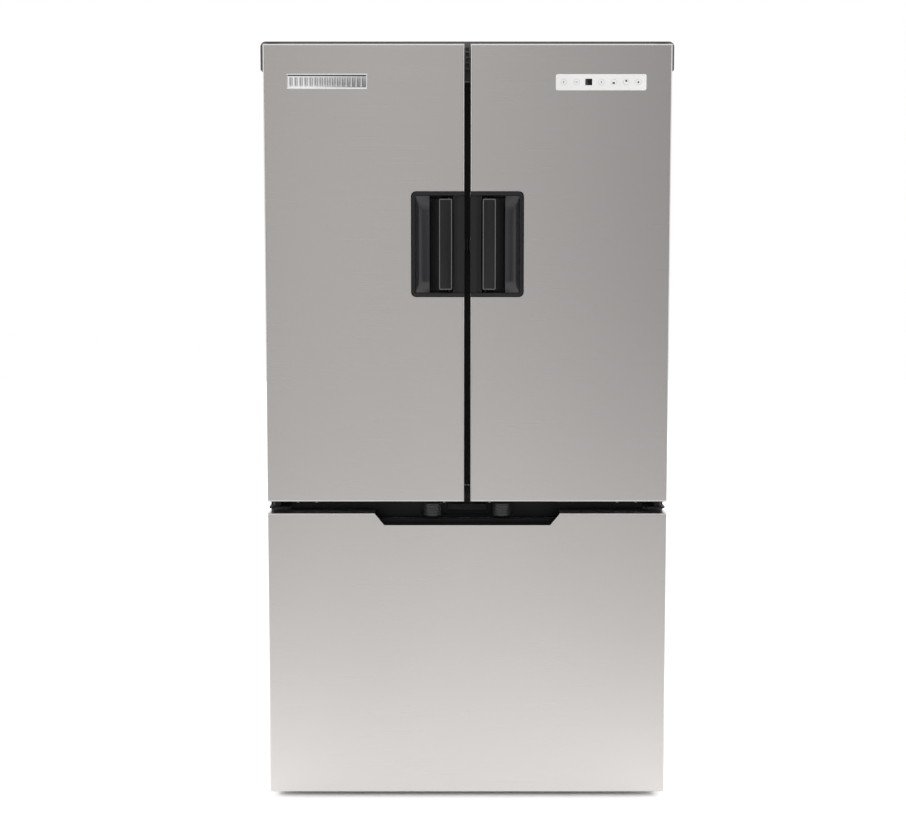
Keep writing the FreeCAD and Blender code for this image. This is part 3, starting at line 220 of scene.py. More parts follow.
def build_materials():
    """A material for each slot of the record, and a few that a piece wears in place of its slot's own."""
    made = {
        "steel_front": brushed("steel_front", (0.605, 0.590, 0.580), 0.29, strength=0.012, spread=0.02),
        "cabinet_paint": painted("cabinet_paint", (0.085, 0.086, 0.090), 0.42),
        "back_sheet": galvanised(),
        "foam": foam(),
        "liner_white": moulded("liner_white", (0.84, 0.85, 0.86), 0.28, grain=700, strength=0.05, coat=0.3),
        # Near-black with low specular: black paint pushed darker than paint goes, as painted shade of the gap
        # between the doors.
        "dark_paint": painted("dark_paint", (0.006, 0.006, 0.0065), 0.42, peel=600).set(
            Specular_IOR_Level=0.25),
        "post_paint": painted("post_paint", (0.008, 0.008, 0.009), 0.45).set(Specular_IOR_Level=0.25),
        "zinc_steel": brushed("zinc_steel", (0.50, 0.50, 0.485), 0.36, grain=(60, 4, 300), strength=0.03),
        "black_plastic": moulded("black_plastic", (0.0095, 0.0095, 0.0105), 0.34).set(
            Specular_IOR_Level=0.36),
        # The scoop's finish is the pocket's black plastic made lighter: painted sheen where its glossy curve
        # catches light.
        "scoop_painted_sheen": moulded("scoop_painted_sheen", (0.034, 0.033, 0.039), 0.26, strength=0.05),
        # A lighter grey copy of the black plastic, worn by the lever's bevelled outline: painted highlight
        # along its edges.
        "lever_edge_painted_highlight": moulded("lever_edge_painted_highlight", (0.115, 0.115, 0.12), 0.25, strength=0.04),
        "charcoal_plastic": moulded("charcoal_plastic", (0.05, 0.05, 0.053), 0.32),
        "cap_plastic": moulded("cap_plastic", (0.12, 0.12, 0.125), 0.5),
        "foot_plastic": moulded("foot_plastic", (0.035, 0.035, 0.037), 0.5),
        "aluminium": brushed("aluminium", (0.82, 0.83, 0.84), 0.3, grain=(4, 300, 300), strength=0.03),
        "lens": moulded("lens", (0.92, 0.92, 0.89), 0.35, grain=500, strength=0.25),
        "shelf_glass": glass(),
        "trim_plastic": moulded("trim_plastic", (0.80, 0.81, 0.82), 0.3, coat=0.3),
        "clear_plastic": clear_plastic("clear_plastic", (0.90, 0.93, 0.95)),
        "seal": rubber(),
        "badge_chrome": brushed("badge_chrome", (0.82, 0.83, 0.84), 0.12, grain=(500, 500, 8), strength=0.02),
        "display_black": moulded("display_black", (0.006, 0.006, 0.008), 0.12, strength=0.02, coat=0.6),
        "key_print": moulded("key_print", (0.52, 0.53, 0.56), 0.45, strength=0.04),
        # The white membrane glows faintly (emission 0.10) though it is no lamp: painted light that brightens
        # it.
        "panel_white": moulded("panel_white", (0.93, 0.94, 0.94), 0.3, grain=2000, strength=0.03,
                               coat=0.2).set(Emission_Color=(1, 1, 1, 1), Emission_Strength=0.10),
    }
    return {slot: finish.material for slot, finish in made.items()}


materials = build_materials()


def dress_cad():
    """Give each CAD node the material of its slot."""
    slots = {row["node"]: row["material_slot"] for row in frame["record"]["subparts"]}
    for name, thing in nodes.items():
        thing.data.materials.clear()
        thing.data.materials.append(materials[slots[name]])


dress_cad()

# ---------------------------------------------------------------------------------------------------
# Mesh kit. Sizes are written in millimetres and turned to metres when a mesh is made.
# ---------------------------------------------------------------------------------------------------

MM = 0.001
SHARP_FROM = math.radians(38)
SIDES = (("left", -1), ("right", 1))


def corners(node):
    """A CAD node's lowest and highest corners in millimetres."""
    return [[round(part / MM, 2) for part in corner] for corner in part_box(node)]


def from_front(node):
    """The same corners as the front view shows them: across and up."""
    return [(corner[0], corner[2]) for corner in corners(node)]


def inward(low, high, inset):
    """A rectangle's two corners moved in by an inset."""
    return (low[0] + inset, low[1] + inset), (high[0] - inset, high[1] - inset)


def mesh_from(name, points, faces):
    """A clean mesh with outward normals, smooth except at real edges."""
    made = bpy.data.meshes.new(name)
    made.from_pydata([Vector(point) * MM for point in points], [], faces)
    work = bmesh.new()
    work.from_mesh(made)
    bmesh.ops.remove_doubles(work, verts=work.verts, dist=1e-7)
    bmesh.ops.recalc_face_normals(work, faces=work.faces)
    work.to_mesh(made)
    work.free()
    made.shade_smooth()
    made.set_sharp_from_angle(angle=SHARP_FROM)
    return made


class Shape:
    """Points and faces gathered from several parts before they become one mesh."""

    def __init__(self):
        self.points = []
        self.faces = []

    def add(self, points, faces):
        start = len(self.points)
        self.points += list(points)
        self.faces += [tuple(start + corner for corner in face) for face in faces]
        return self

    def join(self, other):
        return self.add(other.points, other.faces)

    def flip(self):
        """The same shape on the other side of the middle plane."""
        other = Shape()
        return other.add([(-x, y, z) for x, y, z in self.points], [face[::-1] for face in self.faces])

    def on(self, side):
        """A shape that was drawn on the left, put on the side asked for."""
        return self if side < 0 else self.flip()


def piece(name, shape, body, slot, *stands_for, finish=None):
    """Make the shape into an object that rides on a body and takes a slot's finish."""
    made = bpy.data.objects.new(name, mesh_from(name, shape.points, shape.faces))
    bpy.context.scene.collection.objects.link(made)
    made.data.materials.append(materials[finish or slot])
    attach(made, body)
    if stands_for:
        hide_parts(*stands_for)
    return made


PLANES = {
    "XY": lambda u, v, w: (u, v, w),
    "XZ": lambda u, v, w: (u, w, v),
    "YZ": lambda u, v, w: (w, u, v),
}


def rounded_loop(low, high, radius, steps=5):
    """A rectangle with rounded corners, as points in its own plane."""
    radius = max(radius, 0.05)
    centres = [((high[0] - radius, high[1] - radius), 0), ((low[0] + radius, high[1] - radius), 90),
               ((low[0] + radius, low[1] + radius), 180), ((high[0] - radius, low[1] + radius), 270)]
    loop = []
    for (u, v), start in centres:
        for step in range(steps + 1):
            angle = math.radians(start + 90 * step / steps)
            loop.append((u + radius * math.cos(angle), v + radius * math.sin(angle)))
    return loop


def circle(middle, radius, steps=24):
    return [(middle[0] + radius * math.cos(2 * math.pi * step / steps),
             middle[1] + radius * math.sin(2 * math.pi * step / steps)) for step in range(steps)]


def loft(rings, caps=(True, True), around=False):
    """Faces between rings that have the same number of points; around joins the last ring to the first."""
    count = len(rings[0])
    rows = len(rings)
    faces = []
    for row in range(rows if around else rows - 1):
        after = (row + 1) % rows
        for column in range(count):
            beside = (column + 1) % count
            faces.append((row * count + column, row * count + beside, after * count + beside,
                          after * count + column))
    if caps[0] and not around:
        faces.append(tuple(range(count)))
    if caps[1] and not around:
        faces.append(tuple(range((rows - 1) * count, rows * count)))
    shape = Shape()
    return shape.add([point for ring in rings for point in ring], faces)


def stack(plane, low, high, radius, profile, caps=(True, True), around=False, steps=5):
    """Rounded rectangles stacked along the plane's normal; the profile is (inset, level) pairs."""
    turn = PLANES[plane]
    rings = []
    for inset, level in profile:
        loop = rounded_loop(*inward(low, high, inset), radius - inset, steps)
        rings.append([turn(u, v, level) for u, v in loop])
    return loft(rings, caps, around)


def slab(plane, low, high, levels, radius=2.0, edge=0.8):
    """A plate with rounded corners and a soft edge on both faces."""
    start, end = levels
    step = edge if end > start else -edge
    profile = [(edge, start), (0.3 * edge, start + 0.3 * step), (0, start + step), (0, end - step),
               (0.3 * edge, end - 0.3 * step), (edge, end)]
    return stack(plane, low, high, radius, profile)


def lathe(plane, middle, profile, steps=28):
    """A solid of revolution; the profile is (radius, level) pairs along the plane's normal."""
    turn = PLANES[plane]
    return loft([[turn(u, v, level) for u, v in circle(middle, max(radius, 0.05), steps)]
                 for radius, level in profile])


def prism(plane, outline, start, end):
    """An outline drawn in a plane and run along its normal."""
    turn = PLANES[plane]
    return loft([[turn(u, v, level) for u, v in outline] for level in (start, end)])


def tub(low, high, wall=3.0, corner=12.0, draft=2.5):
    """An open box with a rolled rim, drafted walls and soft inner corners."""
    base, top = low[2], high[2]
    profile = [
        (draft + 7, base), (draft + 3, base + 1.5), (draft + 1, base + 6), (1.4, top - 9), (0.3, top - 7.5),
        (0, top - 6), (0, top - 1.2), (0.5, top - 0.3), (1.4, top), (wall + 0.6, top),
        (wall + 1.4, top - 0.8), (wall + 1.8, top - 6), (wall + draft + 1.2, base + 8),
        (wall + draft + 3.5, base + wall + 1.8), (wall + draft + 8, base + wall),
    ]
    return stack("XY", low[:2], high[:2], corner, profile)


def bead_ring(plane, low, high, radius, profile):
    """A closed section run round a rounded rectangle."""
    return stack(plane, low, high, radius, profile, around=True)


# ---------------------------------------------------------------------------------------------------
# Handles: a moulded pocket with a scoop, and the latch lever in front of its deep bay
# ---------------------------------------------------------------------------------------------------

POCKET_LOW, POCKET_HIGH = corners("left_handle_pocket")
GAP = -POCKET_HIGH[0]                     # half the gap between the doors
FACE = POCKET_LOW[1]                      # front plane of the steel
POCKET = {"outer": -POCKET_LOW[0], "low": POCKET_LOW[2], "high": POCKET_HIGH[2], "back": POCKET_HIGH[1],
          "rim": 10.0, "corner": 11.0}
BAY_START = -343.5                        # where the walls of the bay begin behind the rim
LONG_END, SHORT_END = 30.0, 4.0           # how far the scoop's and the bay's ends curve in
BAY_BACK = -310                           # the bay's back and its inner wall
BAY_INNER = -32
SLOT_LOW, SLOT_HIGH = 1247.0, 1276.0      # where the hook passes the pocket's inner walls
# sections as (distance from the middle plane, depth), then the rim's as (inset, depth)
SCOOP = [(115, -343.5), (114, -338), (112, -333.5), (109, -330), (105, -327.4), (98, -325.2), (91, -324.2),
         (84.4, -323.8)]
BAY = [(84.4, -323.8), (84.0, -323.0), (83.7, -313), (80, -311), (64, -310), (48, -310), (32, -310)]
SHELF = [(32, -342), (30.5, -343), (18, -343.2), (GAP, -343)]
RIM = [(0, -306), (0, -345.5), (0.5, -347.2), (1.6, -348.1), (3, -348.4), (4.4, -348.0), (5, -347.3),
       (5.8, -347.3), (6.6, -347.9), (8, -347.8), (9.2, -346.6), (9.8, -345), (10, -343.5)]


def bay_depth(across, level, depth):
    """Depth of the bay, eased towards the face at its two ends; the scoop's ends are long curves."""
    from_end = min(level - POCKET["low"], POCKET["high"] - level) - POCKET["rim"]
    reach = LONG_END if across > BAY[1][0] else SHORT_END
    share = math.sin(min(1.0, from_end / reach) * math.pi / 2)
    return BAY_START + (depth - BAY_START) * share


def make_pocket():
    """The moulding of rim, bay and back, and the scoop as a shape of its own."""
    rim_rings = []
    for inset, level in RIM:
        radius = max(POCKET["corner"] - inset, 0.6)
        low = (-POCKET["outer"] + inset, POCKET["low"] + inset)
        high = (POCKET["outer"], POCKET["high"] - inset)
        loop = rounded_loop(low, high, radius, 8)
        half = [(u, v) for u, v in loop if u < 0]
        path = [(-GAP, high[1])] + half + [(-GAP, low[1])]
        rim_rings.append([(u, level, v) for u, v in path])
    count = len(rim_rings[0])
    faces = [(row * count + column, row * count + column + 1, (row + 1) * count + column + 1,
              (row + 1) * count + column) for row in range(len(rim_rings) - 1) for column in range(count - 1)]
    shape = Shape().add([point for ring in rim_rings for point in ring], faces)

    low, high = POCKET["low"] + POCKET["rim"], POCKET["high"] - POCKET["rim"]
    ends = [0, 0.8, 2, 3, 4, 7, 11, 15, 20, 25, 30]
    levels = [low + end for end in ends] + [SLOT_LOW, SLOT_HIGH] + [high - end for end in reversed(ends)]
    scoop = Shape()
    for strip in (SCOOP, BAY, SHELF):
        points = [(-across, depth if strip is SHELF else bay_depth(across, level, depth), level)
                  for across, depth in strip for level in levels]
        rows = len(levels)
        quads = [(column * rows + row, column * rows + row + 1, (column + 1) * rows + row + 1,
                  (column + 1) * rows + row) for column in range(len(strip) - 1) for row in range(rows - 1)]
        (scoop if strip is SCOOP else shape).add(points, quads)
    ledge = SHELF[0][1]
    for bottom, top in ((low, SLOT_LOW), (SLOT_HIGH, high)):
        shape.add([(BAY_INNER, depth, level) for depth, level in
                   ((BAY_BACK, bottom), (ledge, bottom), (ledge, top), (BAY_BACK, top))], [(0, 1, 2, 3)])
        shape.join(slab("YZ", (-343, bottom), (POCKET["back"], top), (-GAP, -GAP - 1.5), 0.5, 0.2))
    shape.join(slab("XZ", (-POCKET["outer"] + 1, POCKET["low"] + 1), (-GAP - 1.6, POCKET["high"] - 1),
                    (-309.0, POCKET["back"]), 8, 0.4))
    return shape, scoop


LEVER_LOW, LEVER_HIGH = (-63, 1161), (-34, 1362)
PIVOT = (-40, -334)                       # seen from above
HOOK_LOW, HOOK_HIGH = 1250, 1273
HOOK_HALF = 3                             # half the hook's thickness
HOOK_BACK, HOOK_END = -319.5, -3.5        # how far back and how near the middle plane it reaches
LEVER_OUTLINE = [(0.1, -345.6), (0.1, -346.3), (0.9, -347.2), (2.1, -347.65), (2.5, -347.2), (1.4, -345.6)]


def make_lever():
    """A flat upright grip with chamfered edges, its pivot boss and the hook that reaches the gap."""
    bar = stack("XZ", LEVER_LOW, LEVER_HIGH, 3.0,
                [(1.2, -337), (0.3, -337.3), (0, -338), (0, -345.9), (0.35, -346.35), (2.3, -347.3),
                 (2.9, -347.5)])
    hub_ends = [(3, 1156.5), (3, 1160), (6, 1160.4), (6, 1170), (5, 1171), (5, 1352), (6, 1353), (6, 1362.6),
                (3, 1363), (3, 1366.5)]
    bar.join(lathe("XY", PIVOT, hub_ends))
    stem = (PIVOT[0] - HOOK_HALF, PIVOT[1]), (PIVOT[0] + HOOK_HALF, HOOK_BACK)
    tail = (PIVOT[0] - HOOK_HALF, HOOK_BACK - HOOK_HALF), (HOOK_END, HOOK_BACK)
    bar.join(slab("XY", *stem, (HOOK_LOW, HOOK_HIGH), 1.5, 0.8))
    bar.join(slab("XY", *tail, (HOOK_LOW, HOOK_HIGH), 1.2, 0.8))
    for level in (1180, 1215, 1300, 1335):
        bar.join(slab("XY", (-58, -337.5), (-37, -334.5), (level, level + 2.5), 1.0, 0.5))
    return bar


def add_handles():
    for name, side in SIDES:
        moulding, scoop = make_pocket()
        piece(name + "_pocket_moulding", moulding.on(side), name + "_door", "black_plastic",
              name + "_handle_pocket")
        # The scoop wears a lighter copy of the black plastic as painted sheen.
        piece(name + "_pocket_scoop", scoop.on(side), name + "_door", "black_plastic", finish="scoop_painted_sheen")
        # The bevelled ring round the lever is real shape; its lighter finish is a painted highlight.
        outline = bead_ring("XZ", LEVER_LOW, LEVER_HIGH, 3, LEVER_OUTLINE)
        piece(name + "_lever_outline_highlight", outline.on(side), name + "_latch", "black_plastic",
              finish="lever_edge_painted_highlight")
        piece(name + "_lever_moulding", make_lever().on(side), name + "_latch", "black_plastic",
              name + "_latch_lever")


# ---------------------------------------------------------------------------------------------------
# Badge plate and touch panel
# ---------------------------------------------------------------------------------------------------

FLUTES = 15
FLUTE_PITCH = 11


def add_badge():
    """A blank bright plate with a raised border and a row of plain upright flutes."""
    low, high = from_front("badge")
    plate = stack("XZ", low, high, 1.6,
                  [(0, FACE), (0, -349.3), (0.5, -349.9), (1.6, -350.0), (2.2, -349.5), (3.0, -349.3)])
    for flute in range(FLUTES):
        left = low[0] + 7 + flute * FLUTE_PITCH
        plate.join(slab("XZ", (left, low[1] + 5), (left + 6.5, high[1] - 7), (-349.2, -349.75), 3.0, 0.25))
    piece("badge_plate", plate, "left_door", "badge_chrome", "badge")
    # A charcoal strip proud of the plate along its top stands for a groove: painted shade.
    groove_shade = slab("XZ", (low[0] + 2.5, high[1] - 5.4), (high[0] - 2.5, high[1] - 2.4), (-349.2, -349.6),
                  0.6, 0.15)
    piece("badge_groove_shade", groove_shade, "left_door", "charcoal_plastic")


# middles of the keys, each key's mark as a rectangle about its middle, and the rings round them
PANEL_KEYS = (211.5, 239.6, 293.9, 320.9, 348.6, 375.0)
KEY_MARKS = (((-0.8, -2.4), (0.8, 2.4)), ((-3.0, -0.5), (3.0, 0.5)), ((-0.7, -2.6), (0.7, 2.6)),
             ((-2.6, -4.0), (2.8, -0.4)), ((-2.0, 0.4), (2.0, 4.2)), ((-1.2, -2.8), (1.6, 1.8)))
KEY_LEVEL = 1616.0
KEY_RING = 6.8
RING_SECTION = [(0, -349.48), (0, -349.58), (0.55, -349.58), (0.55, -349.48)]
DISPLAY_LOW, DISPLAY_HIGH = (258.5, 1609), (273.7, 1623)


def add_panel():
    """A flat white membrane with a small dark display and ring marks for its six keys."""
    plate = stack("XZ", *from_front("control_panel"), 4.0,
                  [(0, FACE), (0, -349.1), (0.35, -349.4), (1.0, -349.5)])
    # The membrane's finish glows faintly: painted light.
    piece("panel_membrane", plate, "right_door", "panel_white", "control_panel")
    display = slab("XZ", DISPLAY_LOW, DISPLAY_HIGH, (-349.45, -349.7), 1.0, 0.12)
    piece("panel_display", display, "right_door", "black_plastic", finish="display_black")
    rings = Shape()
    for across in PANEL_KEYS:
        low = (across - KEY_RING, KEY_LEVEL - KEY_RING)
        high = (across + KEY_RING, KEY_LEVEL + KEY_RING)
        rings.join(bead_ring("XZ", low, high, KEY_RING, RING_SECTION))
    piece("panel_rings", rings, "right_door", "charcoal_plastic", finish="key_print")
    marks = Shape()
    flat = (-349.48, -349.62)
    for across, (low, high) in zip(PANEL_KEYS, KEY_MARKS):
        marks.join(slab("XZ", (across + low[0], KEY_LEVEL + low[1]), (across + high[0], KEY_LEVEL + high[1]),
                        flat, 0.5, 0.05))
    piece("panel_marks", marks, "right_door", "black_plastic", finish="display_black")


# ---------------------------------------------------------------------------------------------------
# Door and drawer insides: liners, gaskets, bins
# ---------------------------------------------------------------------------------------------------

LINER_FACE = -288                         # the inner panels' flat face
FRAME_CORNER = 20
GASKET = [(5, -288), (5, -286.6), (1, -286.2), (0, -284.8), (2.6, -282.8), (0.6, -280.8), (0, -278.2),
          (0.5, -276), (1.8, -275.4), (4.5, -275.3), (8, -275.6), (11.5, -275.3), (14.2, -275.4),
          (15.5, -276), (16, -278.2), (15.4, -280.8), (13.4, -282.8), (16, -284.8), (15, -286.2),
          (11, -286.6), (11, -288)]


def lining(node, low, high):
    """A formed inner panel: a flat margin, then a raised frame with soft edges round a recessed field."""
    back, top = [corner[1] for corner in corners(node)]
    section = [(0, LINER_FACE), (0.6, LINER_FACE + 1), (1.6, top - 5), (2.6, top - 1.2), (4.6, top),
               (9.4, top), (11.6, top - 1.2), (12.6, top - 5), (13.6, LINER_FACE + 2.5),
               (14.6, LINER_FACE + 1), (17, LINER_FACE + 0.4)]
    margin = rounded_loop(*from_front(node), 3)
    rings = [[(u, level, v) for u, v in margin] for level in (back, LINER_FACE)]
    for inset, level in section:
        loop = rounded_loop(*inward(low, high, inset), FRAME_CORNER - inset)
        rings.append([(u, level, v) for u, v in loop])
    return loft(rings)


DOOR_FRAME = (-400, 730), (-40, 1612)
BINS = ((930, 1045), (1180, 1280), (1420, 1510))      # base and top of each


def add_door_insides():
    """Lining, gasket and three tubs a door; drawn for the left door and flipped for the right."""
    tub_low, tub_high = corners("left_door_bins")
    tubs = Shape()
    bands = Shape()
    for base, top in BINS:
        tubs.join(tub((*tub_low[:2], base), (*tub_high[:2], top), 2.5, 10))
        bands.join(slab("XZ", (tub_low[0] + 13.5, top - 30), (tub_high[0] - 13.5, top - 10),
                        (tub_high[1] - 2.6, tub_high[1] - 0.1), 5, 0.8))
    panel = lining("left_door_liner", *DOOR_FRAME)
    gasket = bead_ring("XZ", *from_front("left_door_gasket"), 3, GASKET)
    for name, side in SIDES:
        door = name + "_door"
        piece(name + "_door_lining", panel.on(side), door, "liner_white", name + "_door_liner")
        piece(name + "_door_seal", gasket.on(side), door, "seal", name + "_door_gasket")
        piece(name + "_bin_tubs", tubs.on(side), door, "clear_plastic", name + "_door_bins")
        piece(name + "_bin_bands", bands.on(side), door, "trim_plastic")


def both(shape):
    """A left-hand shape together with its mirror."""
    return Shape().join(shape).join(shape.flip())


DRAWER_FRAME = (-385, 128), (385, 604)


def add_drawer():
    """Lining and gasket of the front, the basket, and the tray with a grip band behind."""
    piece("drawer_lining", lining("drawer_liner", *DRAWER_FRAME), "freezer_drawer", "liner_white",
          "drawer_liner")
    gasket = bead_ring("XZ", *from_front("drawer_gasket"), 3, GASKET)
    piece("drawer_seal", gasket, "freezer_drawer", "seal", "drawer_gasket")
    basket = tub(*corners("freezer_basket"), 3, 14, 4)
    piece("basket_tub", basket, "freezer_drawer", "clear_plastic", "freezer_basket")
    low, high = corners("freezer_tray")
    piece("tray_tub", tub(low, high, 3, 14, 3), "upper_tray", "clear_plastic", "freezer_tray")
    band = slab("XZ", (-120, high[2] - 30), (120, high[2] - 8), (high[1], high[1] - 2.5), 5, 0.8)
    piece("tray_band", band, "upper_tray", "trim_plastic")


# sections of the left-hand slide members, seen from the front
FIXED_RAIL = [(-403, 250), (-399.2, 250), (-398.5, 250.8), (-398.5, 256), (-401.4, 258), (-401.4, 282),
              (-398.5, 284), (-398.5, 289.2), (-399.2, 290), (-403, 290)]
MIDDLE_RAIL = [(-398, 258), (-396.8, 254.4), (-396, 254), (-394.4, 254), (-393, 255.6), (-392.5, 258),
               (-392.5, 262), (-394.6, 264), (-394.6, 276), (-392.5, 278), (-392.5, 282), (-393, 284.4),
               (-394.4, 286), (-396, 286), (-396.8, 285.6), (-398, 282)]
INNER_RAIL = [(-392, 261), (-391, 258.6), (-390, 258), (-388, 258), (-386.5, 259.5), (-386.5, 264),
              (-388.6, 266), (-388.6, 274), (-386.5, 276), (-386.5, 280.5), (-388, 282), (-390, 282),
              (-391, 281.4), (-392, 279)]


def add_slides():
    """Three telescoping members a side; the inner ones start just behind the drawer's inner panel."""
    for name, section, body, node in (("rails_fixed", FIXED_RAIL, "cabinet", "drawer_rails"),
                                      ("rails_middle", MIDDLE_RAIL, "slide_middles", "middle_slides"),
                                      ("rails_inner", INNER_RAIL, "freezer_drawer", "drawer_slides")):
        low, high = corners(node)
        member = prism("XZ", section, max(low[1], LINER_FACE + 0.1), high[1])
        piece(name, both(member), body, "zinc_steel", node)


# ---------------------------------------------------------------------------------------------------
# Cabinet insides
# ---------------------------------------------------------------------------------------------------

SHELF_LEVELS = (1330, 1060)
SHELF_FRONT = -150
LID_LEVEL = 905
LID_FRONT = -116
PANE = 4                                  # a pane's thickness
PANE_INSET = 6.1                          # from the trim's outside to the pane: to its front and back
PANE_SIDE = 5.1                           # and to its sides
SHELF_TRIM = 12                           # how far the trims reach below the panes
LID_TRIM = 6


def edge_trim(reach, level):
    """Section of the rim that carries a pane at this level."""
    section = [(0.6, -reach), (0, 1 - reach), (0, 4.2), (0.5, 5.4), (1.8, 6), (4.6, 6), (5.6, 5.4), (6, 4.4),
               (6, 0), (10.6, 0), (11.6, -0.6), (12, -1.8), (12, 1 - reach), (11.4, -reach)]
    return [(inset, level + height) for inset, height in section]


def add_shelves():
    """Two half shelves a level and the full-width lid over the crispers."""
    trims = Shape()
    panes = Shape()
    (left, _, _), (right, back, _) = corners("shelf_trims")
    shelf = [(left, SHELF_FRONT), (-1, back)]
    lid = [(left, LID_FRONT), (right, back)]

    def pane(low, high, level):
        front_left = (low[0] + PANE_SIDE, low[1] + PANE_INSET)
        back_right = (high[0] - PANE_SIDE, high[1] - PANE_INSET)
        return slab("XY", front_left, back_right, (level, level + PANE), 3, 0.5)

    for level in SHELF_LEVELS:
        trims.join(both(bead_ring("XY", *shelf, 6, edge_trim(SHELF_TRIM, level))))
        panes.join(both(pane(*shelf, level)))
    trims.join(bead_ring("XY", *lid, 6, edge_trim(LID_TRIM, LID_LEVEL)))
    panes.join(pane(*lid, LID_LEVEL))
    piece("shelf_frames", trims, "cabinet", "trim_plastic", "shelf_trims")
    piece("shelf_panes", panes, "cabinet", "shelf_glass", "shelf_glass")


LINING_HALF = 403                         # half the width between the inner faces of the side walls
LINING_SHEET = 2                          # the formed sheets' thickness
LEDGE_UNDER_SHELF = 12.5                  # from a pane's underside down to the ledge that carries its trim
LEDGE_UNDER_LID = 6.5


def add_fresh_lining():
    """Formed inner box with shelf ledges along its sides and flutes down its back."""
    walls = stack("XZ", *inward(*from_front("fresh_food_liner"), LINING_SHEET), 15,
                  [(-1.9, -274.2), (0, -274.0), (0.5, -273), (0.6, 285), (2.5, 296), (8, 300), (12, 301)],
                  caps=(False, True))
    for top in [level - LEDGE_UNDER_SHELF for level in SHELF_LEVELS] + [LID_LEVEL - LEDGE_UNDER_LID]:
        walls.join(both(slab("YZ", (-140, top - 6), (270, top), (-LINING_HALF, -397.2), 2, 1.2)))
    for across in range(-380, 381, 40):
        if abs(across) > 110:
            walls.join(slab("XZ", (across - 6, 940), (across + 6, 1590), (301, 298.6), 5.5, 1.6))
    piece("fresh_lining", walls, "cabinet", "liner_white", "fresh_food_liner")


# the freezer's section seen from the side, with the step over the machine compartment
FREEZER_OUTLINE = [(-274.2, 110), (93, 110), (98, 111.3), (101.7, 115), (103, 120), (103, 337), (104.3, 342),
                   (108, 345.7), (113, 347), (291, 347), (296, 348.3), (299.7, 352), (301, 357), (301, 610),
                   (299.7, 615), (296, 618.7), (291, 620), (-274.2, 620)]


def add_freezer_lining():
    """Formed box with a step over the machine compartment, open at the front."""
    count = len(FREEZER_OUTLINE)
    shape = prism("YZ", FREEZER_OUTLINE, -LINING_HALF, LINING_HALF)
    front = (count - 1, 0, count, 2 * count - 1)
    shape.faces = [face for face in shape.faces if face != front]
    for level in (150, 190, 330, 450, 590):
        shape.join(both(slab("YZ", (-250, level), (90, level + 8), (-LINING_HALF, -401.4), 3.5, 1.0)))
    piece("freezer_lining", shape, "cabinet", "liner_white", "freezer_liner")


def add_crispers():
    """Drafted tubs with a grip band in front."""
    low, high = corners("left_crisper")
    bowl = tub(low, high, 3, 10)
    grip = slab("XZ", (low[0] + 66, high[2] - 34), (high[0] - 66, high[2] - 8), (low[1] + 0.4, low[1] + 3.6),
                6, 1.0)
    for name, side in SIDES:
        piece(name + "_crisper_tub", bowl.on(side), "crisper_" + name, "clear_plastic", name + "_crisper")
        piece(name + "_crisper_grip", grip.on(side), "crisper_" + name, "trim_plastic")


def add_air_and_light():
    """The air column with dark strips for three slots at each vent, as painted shade of the openings, and the
    ribbed lamp cover.
    """
    tower = slab("XZ", *from_front("air_tower"), (301, 283), 18, 5)
    piece("air_column", tower, "cabinet", "liner_white", "air_tower")
    vent_slot_shade = Shape()
    # Each slot is a flat charcoal strip on the column's face: painted shade of the opening.
    for level in range(1120, 1560, 100):
        for step in range(3):
            base = level + 8 * step
            vent_slot_shade.join(slab("XZ", (-60, base), (60, base + 4.4), (283.4, 282.6), 2.1, 0.3))
    piece("air_vent_slot_shade", vent_slot_shade, "cabinet", "charcoal_plastic")
    low, high = corners("lamp_lens")
    lens = slab("XY", low[:2], high[:2], (high[2], low[2] + 1.2), 14, 3)
    for across in range(-100, 101, 20):
        lens.join(slab("XY", (across - 6, low[1] + 10), (across + 6, high[1] - 10), (low[2] + 2, low[2]),
                       5, 0.9))
    piece("lamp_cover", lens, "cabinet", "lens", "lamp_lens")


FAN_LEVEL = 560
GUARD_RINGS = (14, 26, 38, 50)
GUARD_REACH = 54
SPOKE_HALF = 1.2
GUARD_WIRE = [(0, 234), (0.4, 232.6), (1.6, 232.6), (2, 234), (1.6, 235), (0.4, 235)]


def add_fan_guard():
    """Rings and two spokes over the fan's hole in the evaporator cover."""
    guard = Shape()
    for radius in GUARD_RINGS:
        low, high = (-radius, FAN_LEVEL - radius), (radius, FAN_LEVEL + radius)
        guard.join(bead_ring("XZ", low, high, radius, GUARD_WIRE))
    for across, up in ((GUARD_REACH, SPOKE_HALF), (SPOKE_HALF, GUARD_REACH)):
        guard.join(slab("XZ", (-across, FAN_LEVEL - up), (across, FAN_LEVEL + up), (235, 233), 1, 0.4))
    piece("fan_guard", guard, "cabinet", "liner_white")


# ---------------------------------------------------------------------------------------------------
# Front fittings, back and floor gear
# ---------------------------------------------------------------------------------------------------

NOSE_X = 79                               # from the middle plane to a round block's own middle


def add_catches():
    """Ribbed round catch blocks, and the dark plate and stiffening bar between them."""
    plate = slab("XZ", *from_front("door_catches"), (-275, -278), 6, 0.7)
    plate.join(slab("XZ", (-46, 655), (46, 673), (-277.5, -289), 4, 2))
    # The plate wears dark_paint, darkened as painted shade of the gap between the doors.
    piece("catch_plate", plate, "cabinet", "charcoal_plastic", finish="dark_paint")
    blocks = Shape()
    ribs = [(16.5, 647), (18.6, 647.5), (19.8, 649)]
    for level in (650, 656, 662, 668):
        ribs += [(20, level), (20, level + 3.6), (18.9, level + 4.4), (18.9, level + 5.2)]
    ribs += [(20, 674), (20, 675), (19, 676.5), (17, 677)]
    for across in (-NOSE_X, NOSE_X):
        blocks.join(lathe("XY", (across, -300), ribs, 36))
        blocks.join(slab("XZ", (across - 19.6, 647.2), (across + 19.6, 676.8), (-277.5, -300), 2, 0.6))
    piece("catch_blocks", blocks, "cabinet", "charcoal_plastic", "door_catches")


def hexagon(middle, radius):
    return circle(middle, radius, 6)


